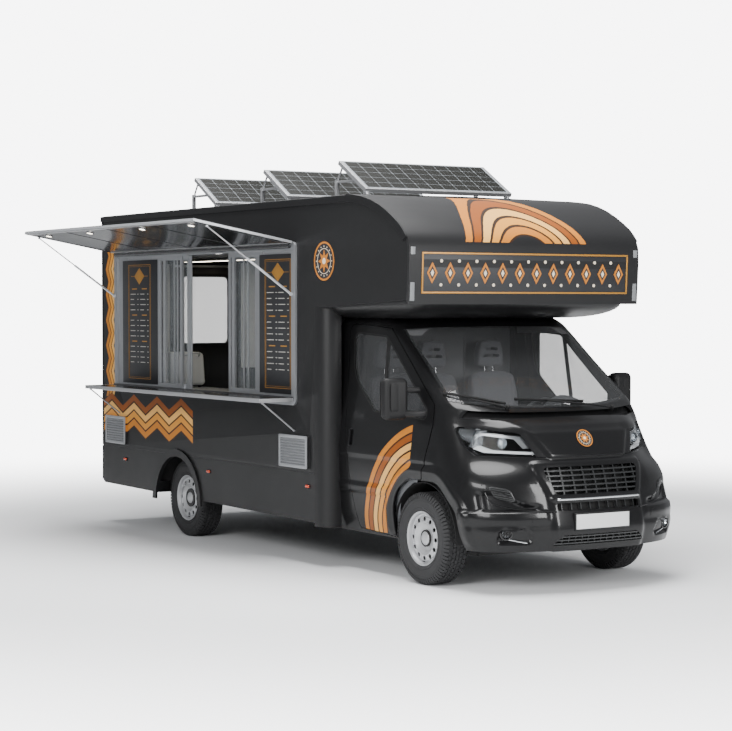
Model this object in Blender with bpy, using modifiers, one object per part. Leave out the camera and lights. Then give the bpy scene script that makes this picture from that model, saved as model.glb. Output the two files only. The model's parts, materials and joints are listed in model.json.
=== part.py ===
# A food truck: a coachbuilt kitchen body on a front-wheel-drive van cab and chassis.
# Metres. +X points forward, +Y to the driver's (left) side, +Z up.
# Shapes are laid out from the front axle's centre on the ground. At the end the whole
# truck moves so that the middle of its box on the ground is the world's origin.
import math

import bmesh
import bpy
from mathutils import Matrix, Vector

for item in list(bpy.data.objects):
    bpy.data.objects.remove(item, do_unlink=True)

# Driving dimensions
wheelbase = 4.035
front_track = 1.81
rear_track = 1.87
tyre_radius = 0.37
tyre_width = 0.225
rim_radius = 0.203
box_half = 1.165
box_rear = -5.683
box_front = -1.36
box_bottom = 0.795
box_top = 3.148
sill_bottom = 0.38
wall = 0.03
cab_wall = 0.045
door_wall = 0.055
glass_wall = 0.006
glass_inset = 0.004
seam = 0.005
gap = 0.0003
overrun = 0.5
rear_overrun = 0.05
sink = 0.002

ARC_STEPS = 3
TURN_STEPS = 40
WHEEL_STEPS = 24


# Materials
def material(name, colour, roughness, metallic=0.0):
    made = bpy.data.materials.new(name)
    made.use_nodes = True
    shader = made.node_tree.nodes["Principled BSDF"]
    shader.inputs["Base Color"].default_value = (*colour, 1.0)
    shader.inputs["Roughness"].default_value = roughness
    shader.inputs["Metallic"].default_value = metallic
    return made


charcoal = material("charcoal_body_paint", (0.045, 0.045, 0.047), 0.38)
black_gloss = material("black_cab_paint", (0.02, 0.02, 0.022), 0.15)
black_plastic = material("black_plastic", (0.03, 0.03, 0.032), 0.6)
frame_paint = material("chassis_paint", (0.06, 0.06, 0.06), 0.6)
aluminium = material("brushed_aluminium", (0.72, 0.72, 0.73), 0.32, 1.0)
wheel_silver = material("silver_wheel_paint", (0.62, 0.63, 0.64), 0.35, 0.6)
tyre_rubber = material("tyre_rubber", (0.05, 0.05, 0.05), 0.85)
cast_grey = material("cast_iron", (0.22, 0.22, 0.22), 0.55, 0.8)
tinted_glass = material("tinted_glass", (0.2, 0.22, 0.23), 0.03)
lamp_clear = material("clear_lamp", (0.75, 0.77, 0.8), 0.05)
seat_cloth = material("seat_cloth", (0.18, 0.18, 0.19), 0.9)
trim_grey = material("cab_trim", (0.12, 0.12, 0.125), 0.7)
steel = material("stainless_steel", (0.6, 0.6, 0.6), 0.28, 1.0)
laminate = material("grey_laminate", (0.3, 0.3, 0.3), 0.5)

# Collections
truck_parts = bpy.data.collections.new("food_truck")
helpers = bpy.data.collections.new("cutters")
bpy.context.scene.collection.children.link(truck_parts)
bpy.context.scene.collection.children.link(helpers)

origin = bpy.data.objects.new("truck", None)
truck_parts.objects.link(origin)


# Making and combining meshes
def settle(holder):
    """The holder's mesh with its modifiers worked in; the holder is removed."""
    graph = bpy.context.evaluated_depsgraph_get()
    made = bpy.data.meshes.new_from_object(holder.evaluated_get(graph))
    bpy.data.objects.remove(holder, do_unlink=True)
    work = bmesh.new()
    work.from_mesh(made)
    bmesh.ops.remove_doubles(work, verts=work.verts, dist=1e-5 * wheelbase)
    bmesh.ops.recalc_face_normals(work, faces=work.faces)
    work.to_mesh(made)
    work.free()
    return made


def helper(data):
    holder = bpy.data.objects.new("helper", data)
    holder.hide_render = True
    holder.display_type = "WIRE"
    helpers.objects.link(holder)
    return holder


def combine(operation, base, *others):
    """Boolean of base with each other mesh in turn."""
    for other in others:
        holder, cutter = helper(base), helper(other)
        step = holder.modifiers.new("step", "BOOLEAN")
        step.operation = operation
        step.object = cutter
        base = settle(holder)
        bpy.data.objects.remove(cutter, do_unlink=True)
    return base


def carve(base, *others):
    return combine("DIFFERENCE", base, *others)


def fuse(base, *others):
    return combine("UNION", base, *others)


def meet(base, *others):
    return combine("INTERSECT", base, *others)


def moved(mesh, matrix):
    copy = mesh.copy()
    copy.transform(matrix)
    if matrix.determinant() < 0:
        copy.flip_normals()
    return copy


def mirrored(mesh):
    return moved(mesh, Matrix.Scale(-1, 4, (0, 1, 0)))


def block(low, high):
    """A box between two corners."""
    low, high = Vector(low), Vector(high)
    work = bmesh.new()
    bmesh.ops.create_cube(work, size=1.0)
    size = high - low
    place = Matrix.Translation((low + high) / 2) @ Matrix.Diagonal((*size, 1.0))
    bmesh.ops.transform(work, matrix=place, verts=work.verts)
    made = bpy.data.meshes.new("block")
    work.to_mesh(made)
    work.free()
    return made


def cylinder(start, end, radius, sides=16):
    """A round bar from start to end."""
    start, end = Vector(start), Vector(end)
    along = end - start
    work = bmesh.new()
    bmesh.ops.create_cone(
        work, cap_ends=True, segments=sides, radius1=radius, radius2=radius, depth=along.length
    )
    turn = Vector((0, 0, 1)).rotation_difference(along).to_matrix().to_4x4()
    place = Matrix.Translation((start + end) / 2) @ turn
    bmesh.ops.transform(work, matrix=place, verts=work.verts)
    made = bpy.data.meshes.new("cylinder")
    work.to_mesh(made)
    work.free()
    return made


PLANES = {
    "XY": Matrix(((1, 0, 0, 0), (0, 1, 0, 0), (0, 0, 1, 0), (0, 0, 0, 1))),
    "XZ": Matrix(((1, 0, 0, 0), (0, 0, -1, 0), (0, 1, 0, 0), (0, 0, 0, 1))),
    "YZ": Matrix(((0, 0, 1, 0), (1, 0, 0, 0), (0, 1, 0, 0), (0, 0, 0, 1))),
}
NORMALS = {"XY": Vector((0, 0, 1)), "XZ": Vector((0, 1, 0)), "YZ": Vector((1, 0, 0))}


def panel(plane, outlines, start, end):
    """A flat plate: the first outline filled, less the others, from start to end along the normal."""
    curve = bpy.data.curves.new("outline", "CURVE")
    curve.dimensions = "2D"
    curve.fill_mode = "BOTH"
    curve.extrude = abs(end - start) / 2
    for outline in outlines:
        spline = curve.splines.new("POLY")
        spline.points.add(len(outline) - 1)
        for point, (u, v) in zip(spline.points, outline):
            point.co = (u, v, 0, 1)
        spline.use_cyclic_u = True
    made = settle(helper(curve))
    made.transform(Matrix.Translation(NORMALS[plane] * (start + end) / 2) @ PLANES[plane])
    work = bmesh.new()
    work.from_mesh(made)
    bmesh.ops.recalc_face_normals(work, faces=work.faces)
    work.to_mesh(made)
    work.free()
    return made


def rounded(corners, steps=ARC_STEPS):
    """Points of an outline whose corners (u, v, radius) are rounded."""
    points = []
    for index, (u, v, radius) in enumerate(corners):
        here = Vector((u, v))
        before = Vector(corners[index - 1][:2]) - here
        after = Vector(corners[(index + 1) % len(corners)][:2]) - here
        if radius == 0:
            points.append(tuple(here))
            continue
        half = before.angle(after) / 2
        reach = radius / math.tan(half)
        centre = here + (before.normalized() + after.normalized()).normalized() * radius / math.sin(half)
        first = here + before.normalized() * reach - centre
        last = here + after.normalized() * reach - centre
        turn = first.angle_signed(last)
        for step in range(steps + 1):
            angle = -turn * step / steps
            points.append(tuple(centre + Matrix.Rotation(angle, 2) @ first))
    return points


def oblong(low, high, radius, steps=ARC_STEPS):
    """A rectangle's outline with rounded corners."""
    (u0, v0), (u1, v1) = low, high
    return rounded([(u0, v0, radius), (u1, v0, radius), (u1, v1, radius), (u0, v1, radius)], steps)


def grown(outline, distance):
    """The outline with every side moved outwards by distance."""
    area = sum(
        a[0] * b[1] - b[0] * a[1] for a, b in zip(outline, outline[1:] + outline[:1])
    )
    sign = 1 if area > 0 else -1
    points = []
    for index, point in enumerate(outline):
        here = Vector(point)
        into = (here - Vector(outline[index - 1])).normalized()
        out_of = (Vector(outline[(index + 1) % len(outline)]) - here).normalized()
        normal = (Vector((into.y, -into.x)) + Vector((out_of.y, -out_of.x))).normalized()
        share = max(0.3, normal.dot(Vector((into.y, -into.x))))
        points.append(tuple(here + normal * sign * distance / share))
    return points


def smooth_through(points, steps):
    """Points on a smooth curve through the given points, steps to each span."""
    found = []
    count = len(points)
    for index in range(count - 1):
        p1, p2 = Vector(points[index]), Vector(points[index + 1])
        p0 = Vector(points[index - 1]) if index else p1 * 2 - p2
        p3 = Vector(points[index + 2]) if index + 2 < count else p2 * 2 - p1
        for step in range(steps):
            t = step / steps
            found.append(
                p1
                + (p2 - p0) * (t / 2)
                + (p0 * 2 - p1 * 5 + p2 * 4 - p3) * (t**2 / 2)
                + (p1 * 3 - p0 - p2 * 3 + p3) * (t**3 / 2)
            )
    return found + [Vector(points[-1])]


def tube(points, radius, resolution=2):
    """A round wire or tube along the points."""
    curve = bpy.data.curves.new("tube", "CURVE")
    curve.dimensions = "3D"
    curve.bevel_depth = radius
    curve.bevel_resolution = resolution
    curve.use_fill_caps = True
    spline = curve.splines.new("POLY")
    spline.points.add(len(points) - 1)
    for point, place in zip(spline.points, points):
        point.co = (*place, 1)
    return settle(helper(curve))


def turned(profile, closed, steps=TURN_STEPS):
    """A profile of (radius, along) turned about the Y axis. An open one starts and ends on the axis."""
    data = bpy.data.meshes.new("profile")
    verts = [(radius, 0, along) for radius, along in profile]
    edges = [(i, i + 1) for i in range(len(verts) - 1)]
    if closed:
        edges.append((len(verts) - 1, 0))
    data.from_pydata(verts, edges, [])
    holder = helper(data)
    screw = holder.modifiers.new("turn", "SCREW")
    screw.axis = "Z"
    screw.steps = steps
    screw.render_steps = steps
    screw.use_merge_vertices = True
    screw.merge_threshold = 0.00005
    made = settle(holder)
    made.transform(Matrix.Rotation(-math.pi / 2, 4, "X"))
    return made


def ring(rows, across):
    """An open surface through rows of points, smooth along each row."""
    columns = list(zip(*[smooth_through(row, across) for row in rows]))
    work = bmesh.new()
    verts = [[work.verts.new(place) for place in column] for column in columns]
    for left, right in zip(verts, verts[1:]):
        for low_left, low_right, high_right, high_left in zip(left, right, right[1:], left[1:]):
            work.faces.new((low_left, high_left, high_right, low_right))
    made = bpy.data.meshes.new("ring")
    work.to_mesh(made)
    work.free()
    return made


def thickened(surface, thickness, inset=0.0):
    """A closed shell made from an open surface, from inset inside it to thickness further in."""
    holder = helper(surface.copy())
    if inset:
        shift = holder.modifiers.new("inset", "DISPLACE")
        shift.strength = -inset
        shift.mid_level = 0
    shell = holder.modifiers.new("wall", "SOLIDIFY")
    shell.thickness = thickness
    shell.offset = -1
    return settle(holder)


def pivot(name, place):
    """An empty on a joint's axis."""
    empty = bpy.data.objects.new(name, None)
    truck_parts.objects.link(empty)
    empty.parent = origin
    empty.location = place
    return empty


def add(name, mesh, paint, axis=None):
    """A named piece of the truck, carried by the empty on its joint's axis if it moves."""
    mesh.name = name
    mesh.materials.clear()
    mesh.materials.append(paint)
    for face in mesh.polygons:
        face.material_index = 0
    mesh.shade_smooth()
    mesh.set_sharp_from_angle(angle=math.radians(30))
    made = bpy.data.objects.new(name, mesh)
    truck_parts.objects.link(made)
    made.parent = axis or origin
    if axis:
        made.location = -axis.location
    return made


# Wheels
axle_height = tyre_radius
wheel_offset = 0.068
bead_play = 0.001
bead_radius = rim_radius + bead_play
side_radius = 0.295
hub_radius = 0.068


def tyre_mesh():
    """Tread, shoulders, sidewalls and beads, open to the rim."""
    half = tyre_width / 2
    tread_half_share, shoulder_share, bead_half_share = 0.76, 0.93, 0.80
    carcass, tread_deep, shoulder_drop = 0.011, 0.028, 0.017
    bead_rise, bead_wide = 0.024, 0.018
    # radius, half width
    outer = [
        (tyre_radius, half * tread_half_share),
        (tyre_radius - shoulder_drop, half * shoulder_share),
        (side_radius, half),
        (rim_radius + bead_rise, half * bead_half_share),
        (bead_radius, half * bead_half_share),
    ]
    inner = [
        (bead_radius, half * bead_half_share - bead_wide),
        (side_radius, half - carcass),
        (tyre_radius - tread_deep, half * tread_half_share),
    ]
    right = [(radius, along) for radius, along in outer] + inner
    left = [(radius, -along) for radius, along in reversed(right)]
    return turned(right + left, closed=True, steps=WHEEL_STEPS)


def wheel_mesh():
    """A pressed steel wheel: rim well, flanges, and a dished disc with a hub bore and vent holes."""
    bead_half_share, hub_bore_share, hat_share, disc_share = 0.80, 0.5, 1.45, 2.05
    half = tyre_width / 2 * bead_half_share
    well, sheet = 0.028, 0.006
    flange_high, flange_wide, bead_play = 0.015, 0.010, 0.0005
    bead_seat, well_ramp, disc_set_back = 0.022, 0.045, 0.034
    vent_count, vent_radius, vent_ring = 12, 0.014, 0.153
    seat = bead_radius - gap
    edge, floor = half + bead_play, seat - well
    back = sheet + bead_play
    # radius, along the axle; the disc's hub face is at wheel_offset
    outside = [
        (rim_radius + flange_high, edge + flange_wide),
        (rim_radius + flange_high, edge),
        (seat, edge),
        (seat, half - bead_seat),
        (floor, half - well_ramp),
        (floor, -half + well_ramp),
        (seat, -half + bead_seat),
        (seat, -edge),
        (rim_radius + flange_high, -edge),
        (rim_radius + flange_high, -edge - flange_wide),
        (seat - sheet, -edge - flange_wide),
        (floor - sheet, -half + well_ramp - sheet / 3),
        (floor - sheet, half - well_ramp - sheet + bead_play * 2),
        (hub_radius * disc_share, half - disc_set_back),
        (hub_radius * hat_share, wheel_offset),
        (hub_radius * hub_bore_share, wheel_offset),
        (hub_radius * hub_bore_share, wheel_offset + sheet),
        (hub_radius * hat_share, wheel_offset + sheet),
        (hub_radius * disc_share, half - disc_set_back + sheet + bead_play * 4),
        (floor - sheet / 2, half - well_ramp + back - bead_play * 3),
        (seat - sheet, edge + flange_wide),
    ]
    disc = turned(outside, closed=True, steps=WHEEL_STEPS)
    angles = [math.tau * step / vent_count for step in range(vent_count)]
    vents = [
        cylinder(
            (vent_ring * math.cos(angle), 0, vent_ring * math.sin(angle)),
            (vent_ring * math.cos(angle), tyre_width, vent_ring * math.sin(angle)),
            vent_radius,
            10,
        )
        for angle in angles
    ]
    return carve(disc, *vents)


corners = [
    # name, along, sideways, steered
    ("front_right", 0.0, -front_track / 2, True),
    ("front_left", 0.0, front_track / 2, True),
    ("rear_right", -wheelbase, -rear_track / 2, False),
    ("rear_left", -wheelbase, rear_track / 2, False),
]
tyre_shape = tyre_mesh()
wheel_shape = wheel_mesh()
for name, along, sideways, steered in corners:
    centre = Vector((along, sideways, axle_height))
    hub = pivot("axis_wheel_" + name, centre)
    facing = Matrix.Scale(-1, 4, (0, 1, 0)) if sideways < 0 else Matrix.Identity(4)
    place = Matrix.Translation(centre) @ facing
    add("tyre_" + name, moved(tyre_shape, place), tyre_rubber, hub)
    add("wheel_" + name, moved(wheel_shape, place), wheel_silver, hub)

# Steering knuckles and front axle
kingpin_inset = 0.025
kingpin_y = front_track / 2 - kingpin_inset
arm_thickness = 0.03
knuckle_half_height = 0.125
knuckle_half_long, knuckle_inner, knuckle_outer = 0.05, 0.045, 0.02
lower_arm_top = axle_height - knuckle_half_height
upper_arm_bottom = axle_height + knuckle_half_height
hub_face = front_track / 2 + wheel_offset - gap
rear_hub_face = rear_track / 2 + wheel_offset - gap
rail_y = 0.42
rail_width = 0.06
cab_floor_bottom = 0.52
rail_top_front = cab_floor_bottom - gap
rail_bottom_front = 0.42

knuckle = fuse(
    block(
        (-knuckle_half_long, kingpin_y - knuckle_inner, lower_arm_top + gap),
        (knuckle_half_long, kingpin_y + knuckle_outer, upper_arm_bottom - gap),
    ),
    cylinder((0, kingpin_y, axle_height), (0, hub_face, axle_height), hub_radius, 24),
)
for name, side in (("right", -1), ("left", 1)):
    steer = pivot("axis_steer_" + name, (0, side * kingpin_y, axle_height))
    add("knuckle_" + name, mirrored(knuckle) if side < 0 else knuckle.copy(), cast_grey, steer)

tower_width, tower_half_long = 0.09, 0.10
tower_in = rail_y + rail_width / 2 + gap
tower_out = tower_in + tower_width
arm_tip_half, arm_tip_reach, arm_neck_reach = 0.03, 0.03, 0.18
lower_arm_half, upper_arm_half = 0.11, 0.08
upper_arm_share = 0.7
beam_half_long = 0.12


def arm_outline(root):
    """An arm seen from above: wide at the tower, narrow where the steered wheel passes it."""
    tip, neck = kingpin_y + arm_tip_reach, kingpin_y - arm_neck_reach
    half = arm_tip_half
    return [
        (-root, tower_in), (root, tower_in), (root, tower_out), (half, neck),
        (half, tip), (-half, tip), (-half, neck), (-root, tower_out),
    ]


def front_axle_side():
    """The tower with its lower and upper arm on the left side."""
    lower = panel(
        "XY",
        [arm_outline(lower_arm_half)],
        lower_arm_top - arm_thickness,
        lower_arm_top,
    )
    upper = panel(
        "XY",
        [arm_outline(upper_arm_half)],
        upper_arm_bottom,
        upper_arm_bottom + arm_thickness * upper_arm_share,
    )
    tower = block(
        (-tower_half_long, tower_in, lower_arm_top - arm_thickness),
        (tower_half_long, tower_out, upper_arm_bottom + arm_thickness * upper_arm_share + sink),
    )
    return fuse(tower, lower, upper)


axle_side = front_axle_side()
beam = block(
    (-beam_half_long, -tower_out + sink, lower_arm_top - arm_thickness - sink),
    (beam_half_long, tower_out - sink, rail_bottom_front - gap),
)
add("front_axle", fuse(beam, axle_side, mirrored(axle_side)), cast_grey)

# Rear axle with leaf springs
rail_bottom_rear = 0.65
spring_reach = 0.62
spring_leaf = 0.028
spring_bend_share = 0.55
spring_seat, spring_bend_rise = 0.07, 0.045
beam_radius, drum_radius, drum_inner, drum_outer = 0.045, 0.12, 0.05, 0.045
saddle_half_long, saddle_high = 0.05, 0.06
rear_hub_share = 1.3
spring_bend = spring_reach * spring_bend_share
spring_top = [
    (-wheelbase - spring_reach, rail_bottom_rear - gap),
    (-wheelbase - spring_bend, axle_height + spring_seat + spring_bend_rise),
    (-wheelbase, axle_height + spring_seat),
    (-wheelbase + spring_bend, axle_height + spring_seat + spring_bend_rise),
    (-wheelbase + spring_reach, rail_bottom_rear - gap),
]
spring_line = [tuple(point) for point in smooth_through(spring_top, 3)]
spring_outline = spring_line + [(x, z - spring_leaf) for x, z in reversed(spring_line)]
spring = panel("XZ", [spring_outline], rail_y - rail_width / 2, rail_y + rail_width / 2)
rear_beam = cylinder(
    (-wheelbase, -rear_hub_face, axle_height), (-wheelbase, rear_hub_face, axle_height), beam_radius, 20
)
drum = fuse(
    cylinder(
        (-wheelbase, rear_track / 2 - drum_inner, axle_height),
        (-wheelbase, rear_track / 2 + drum_outer, axle_height),
        drum_radius,
        24,
    ),
    cylinder(
        (-wheelbase, rear_track / 2, axle_height),
        (-wheelbase, rear_hub_face, axle_height),
        hub_radius * rear_hub_share,
        20,
    ),
)
saddle = block(
    (-wheelbase - saddle_half_long, rail_y - rail_width / 2, axle_height),
    (-wheelbase + saddle_half_long, rail_y + rail_width / 2, axle_height + saddle_high),
)
rear_axle = fuse(
    rear_beam, drum, mirrored(drum), saddle, mirrored(saddle), spring, mirrored(spring)
)
add("rear_axle", rear_axle, cast_grey)

# Chassis frame
rail_rear_inset, rail_kick_start, rail_kick_end = 0.08, 0.14, 0.03
rail_rear = box_rear + rail_rear_inset
rail_front = 0.86
rail_top_rear = box_bottom - gap
kick = 0.35
rail_outline = [
    (rail_rear, rail_bottom_rear),
    (box_front - kick, rail_bottom_rear),
    (box_front, rail_bottom_front),
    (rail_front, rail_bottom_front),
    (rail_front, rail_top_front),
    (box_front - rail_kick_end, rail_top_front),
    (box_front - rail_kick_start, rail_top_rear),
    (rail_rear, rail_top_rear),
]
rail = panel("XZ", [rail_outline], rail_y - rail_width / 2, rail_y + rail_width / 2)
cross_width = 0.07
cross_inset, cross_clear, low_clear = 0.05, 0.02, 0.01
axle_cross_reach, middle_cross_x, seat_cross_x, engine_cross_x = 0.75, -2.25, -1.0, 0.42
high_cross = (rail_bottom_rear + cross_clear, rail_top_rear - cross_clear)
low_cross = (rail_bottom_front + low_clear, rail_top_front - low_clear)
cross_members = [
    # x, bottom, top
    (rail_rear + cross_inset, *high_cross),
    (-wheelbase - axle_cross_reach, *high_cross),
    (-wheelbase + axle_cross_reach, *high_cross),
    (middle_cross_x, *high_cross),
    (seat_cross_x, *low_cross),
    (engine_cross_x, rail_bottom_front + low_clear, rail_top_front),
    (rail_front - cross_inset, *low_cross),
]
crosses = [
    block((x - cross_width / 2, -rail_y, low), (x + cross_width / 2, rail_y, high))
    for x, low, high in cross_members
]
add("chassis_frame", fuse(rail, *crosses, mirrored(rail)), frame_paint)

# Engine and gearbox as one block
engine_rear, engine_front, engine_half, engine_top = 0.30, 0.72, 0.33, 0.96
add(
    "engine_block",
    block((engine_rear, -engine_half, rail_top_front + gap), (engine_front, engine_half, engine_top)),
    cast_grey,
)

# Cab skin: rows from sill to roof, each from the rear of the side to the nose's middle.
cab_rear = box_front + gap
# height, then (x, y) at the rear, door, wheel arch, wing, corner, nose and middle
cab_rows = [
    (0.330, (0.97, -0.55, 0.10), 0.975, (0.60, 0.965), (0.83, 0.78), (0.945, 0.45), (0.975, 0)),
    (0.480, (1.00, -0.55, 0.10), 1.000, (0.62, 0.998), (0.86, 0.80), (0.985, 0.45), (1.010, 0)),
    (0.640, (1.01, -0.55, 0.10), 1.012, (0.58, 1.002), (0.82, 0.80), (0.955, 0.45), (0.985, 0)),
    (0.850, (1.02, -0.55, 0.10), 1.020, (0.52, 0.990), (0.74, 0.80), (0.895, 0.45), (0.930, 0)),
    (1.050, (1.02, -0.55, 0.10), 1.012, (0.42, 0.960), (0.56, 0.80), (0.805, 0.45), (0.850, 0)),
    (1.240, (1.005, -0.55, 0.09), 0.995, (0.32, 0.945), (0.47, 0.80), (0.690, 0.53), (0.745, 0)),
    (1.310, (0.995, -0.55, 0.08), 0.985, (0.30, 0.935), (0.43, 0.79), (0.610, 0.52), (0.665, 0)),
    (1.385, (0.985, -0.55, 0.06), 0.972, (0.26, 0.925), (0.37, 0.80), (0.465, 0.50), (0.495, 0)),
    (1.480, (0.975, -0.60, -0.02), 0.960, (0.16, 0.925), (0.255, 0.82), (0.335, 0.48), (0.365, 0)),
    (1.760, (0.950, -0.75, -0.36), 0.925, (-0.20, 0.890), (-0.105, 0.78), (-0.02, 0.46), (0.010, 0)),
    (2.040, (0.925, -0.92, -0.70), 0.895, (-0.555, 0.855), (-0.455, 0.76), (-0.375, 0.45), (-0.345, 0)),
    (2.130, (0.870, -0.98, -0.80), 0.845, (-0.68, 0.800), (-0.60, 0.70), (-0.54, 0.42), (-0.515, 0)),
]


def cab_surface():
    rows = []
    for height, (side, door_x, arch_x), arch_y, *nose in cab_rows:
        half = [(cab_rear - rear_overrun, side), (door_x, (side + arch_y) / 2), (arch_x, arch_y), *nose]
        left = [(x, y, height) for x, y in half]
        right = [(x, -y, height) for x, y in reversed(half[:-1])]
        rows.append(left + right)
    return ring(rows, 2)


cab_skin = cab_surface()
cab_thick = thickened(cab_skin, cab_wall)
door_thick = thickened(cab_skin, door_wall)
glass_thick = thickened(cab_skin, glass_wall, glass_inset)

# Outlines on the cab, seen from the side as (x, z)
arch_front = rounded(
    [(-0.405, 0.20, 0), (-0.405, 0.70, 0.26), (-0.16, 0.835, 0.20), (0.24, 0.835, 0.22), (0.50, 0.62, 0.20), (0.60, 0.20, 0)]
)
door_outline = rounded(
    [
        (-0.955, 0.372, 0.03),
        (-0.412, 0.345, 0.01),
        (-0.412, 0.700, 0.262),
        (-0.165, 0.842, 0.10),
        (0.020, 0.842, 0.02),
        (0.125, 1.280, 0.02),
        (0.105, 1.440, 0.03),
        (-0.625, 2.040, 0.06),
        (-1.205, 2.075, 0.06),
        (-1.160, 1.260, 1.0),
        (-1.050, 0.680, 0.3),
    ]
)
window_outline = rounded(
    [
        (-0.740, 1.362, 0.06),
        (0.035, 1.325, 0.04),
        (0.020, 1.395, 0.04),
        (-0.660, 1.965, 0.07),
        (-1.120, 1.995, 0.06),
        (-1.085, 1.640, 0.30),
    ]
)
screen_outline = [
    (0.205, 1.478), (0.50, 1.395), (0.80, 1.60), (-0.20, 2.20), (-0.35, 2.052), (-0.515, 2.030),
]
scuttle_edge = ((0.335, 1.402), (0.530, 1.374))
bonnet_rear_drop = 0.034
bonnet_outline = [
    (0.335, 1.372 - bonnet_rear_drop),
    (0.335, 1.285),
    (0.690, 1.238),
    (0.800, 1.052),
    (1.200, 1.030),
    (1.200, 1.500),
    (0.530, 1.358 - bonnet_rear_drop),
]
lamp_outline = [(0.325, 1.277), (0.685, 1.230), (0.788, 1.054), (0.520, 1.066), (0.430, 1.130)]
bumper_outline = [
    (0.515, 1.058),
    (0.795, 1.044),
    (1.200, 1.022),
    (1.200, 0.300),
    (0.560, 0.300),
    (0.515, 0.500),
]
nose_cut = [
    scuttle_edge[0],
    lamp_outline[0],
    lamp_outline[4],
    bumper_outline[0],
    bumper_outline[5],
    bumper_outline[4],
    bumper_outline[3],
    bonnet_outline[5],
    scuttle_edge[1],
]
cab_middle_clear = 0.30
side_overrun = 0.2
side_far = box_half + side_overrun
front_far, front_near = 1.3, 0.6


def across(outline):
    """A cutter over the cab's whole width."""
    return panel("XZ", [outline], -side_far, side_far)


def on_side(outline):
    """A cutter over the cab's left side only."""
    return panel("XZ", [outline], cab_middle_clear, side_far)


def both_sides(outline):
    left = on_side(outline)
    return [left, mirrored(left)]


# Doors, glass and mirrors
door_hinge = Vector((0.135, 0.985, 0))
hinge_heights = (1.03, 1.235)
hinge_radius, hinge_length = 0.009, 0.026
hinge_play = 0.006
door_front_play = 0.006
mirror_middle = Vector((-0.07, 1.20, 1.48))
mirror_size = Vector((0.09, 0.20, 0.33))
mirror_foot = Vector((0.02, 0.985, 1.36))
mirror_arm_rises, mirror_arm_radius = (0.0, 0.10), 0.016
mirror_base_low = Vector((-0.13, -0.012, -0.03))
mirror_base_high = Vector((0.03, 0.022, 0.13))
hinge_leaf_x = 0.02
hinge_slot_x = -0.02
mirror_cut_deep = 0.30


def door_mesh():
    """The left door, with its window cut out and its hinge barrels."""
    door = meet(door_thick.copy(), on_side(door_outline))
    door = carve(door, on_side(window_outline))
    knuckles = []
    for height in hinge_heights:
        low = Vector((door_hinge.x, door_hinge.y, height))
        knuckles.append(cylinder(low, low + Vector((0, 0, hinge_length)), hinge_radius, 12))
        knuckles.append(
            block(
                (hinge_leaf_x, door_hinge.y - hinge_radius + sink, height),
                (door_hinge.x, door_hinge.y - sink, height + hinge_length - sink),
            )
        )
    return fuse(door, *knuckles)


def mirror_mesh():
    """The left mirror: two arms from the door's corner and a tall housing."""
    housing = block(mirror_middle - mirror_size / 2, mirror_middle + mirror_size / 2)
    arms = []
    for rise in mirror_arm_rises:
        start = mirror_foot + Vector((-rise, 0, rise))
        end = Vector((mirror_middle.x, mirror_middle.y, start.z))
        arms.append(tube([start, end], mirror_arm_radius))
    base = block(mirror_foot + mirror_base_low, mirror_foot + mirror_base_high)
    return fuse(base, *arms, housing)


left_door = door_mesh()
left_mirror = carve(mirror_mesh(), thickened(cab_skin, mirror_cut_deep, -gap))
left_glass = meet(glass_thick.copy(), on_side(grown(window_outline, -gap)))
for name, side in (("right", -1), ("left", 1)):
    hinge = pivot("axis_door_" + name, (door_hinge.x, side * door_hinge.y, hinge_heights[0]))
    flip = mirrored if side < 0 else (lambda mesh: mesh.copy())
    add("door_" + name, flip(left_door), black_gloss, hinge)
    add("door_glass_" + name, flip(left_glass), tinted_glass, hinge)
    add("mirror_" + name, flip(left_mirror), black_plastic, hinge)

# Cab shell with its floor, wheel houses, firewall, roof and bonnet brackets
bonnet_hinge = Vector((0.342, 0, 1.322))
bonnet_arm_y = 0.70
bonnet_arm_end = 0.474
bonnet_arm_low, bonnet_arm_high = -0.015, -0.006
bonnet_pin = 0.010
bonnet_pin_half, bonnet_arm_half, bracket_half_high = 0.012, 0.010, 0.007
arch_inner = 0.56
firewall_x, firewall_thick, firewall_half, firewall_low, firewall_high = 0.24, 0.03, 0.90, 0.872, 1.36
cab_floor, toe_lap, toe_top = 0.04, 0.005, 0.90
roof_rear_half, roof_front_x, cab_roof_low, cab_roof_high = 0.86, -0.53, 2.09, 2.125
roof_bends = [(-0.80, 0.84), (-0.58, 0.60)]
floor_rear_half, floor_step_x, floor_step_half, floor_arch_x = 0.99, -1.05, 0.93, -0.46
house_rear, house_front, house_outer, house_top, house_wall = -0.47, 0.49, 0.935, 0.88, 0.02
house_lap, house_foot, house_wing_x, house_wing_outer = 0.01, 0.012, 0.06, 0.975
house_wing_lap, house_wing_thick = 0.035, 0.016


def both_ways(half):
    """The other side's points of an outline that is alike left and right."""
    return [(x, -y) for x, y in reversed(half)]


def door_opening():
    """What the left door and its hinge slots take out of the cab's side."""
    slots = [
        block(
            (hinge_slot_x, door_hinge.y - hinge_radius - hinge_play, height - gap),
            (door_hinge.x + hinge_radius + hinge_play, side_far - sink, height + hinge_length + gap),
        )
        for height in hinge_heights
    ]
    wider = [(x + door_front_play if x > 0 else x, z) for x, z in door_outline]
    return fuse(on_side(grown(wider, seam)), *slots)


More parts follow.
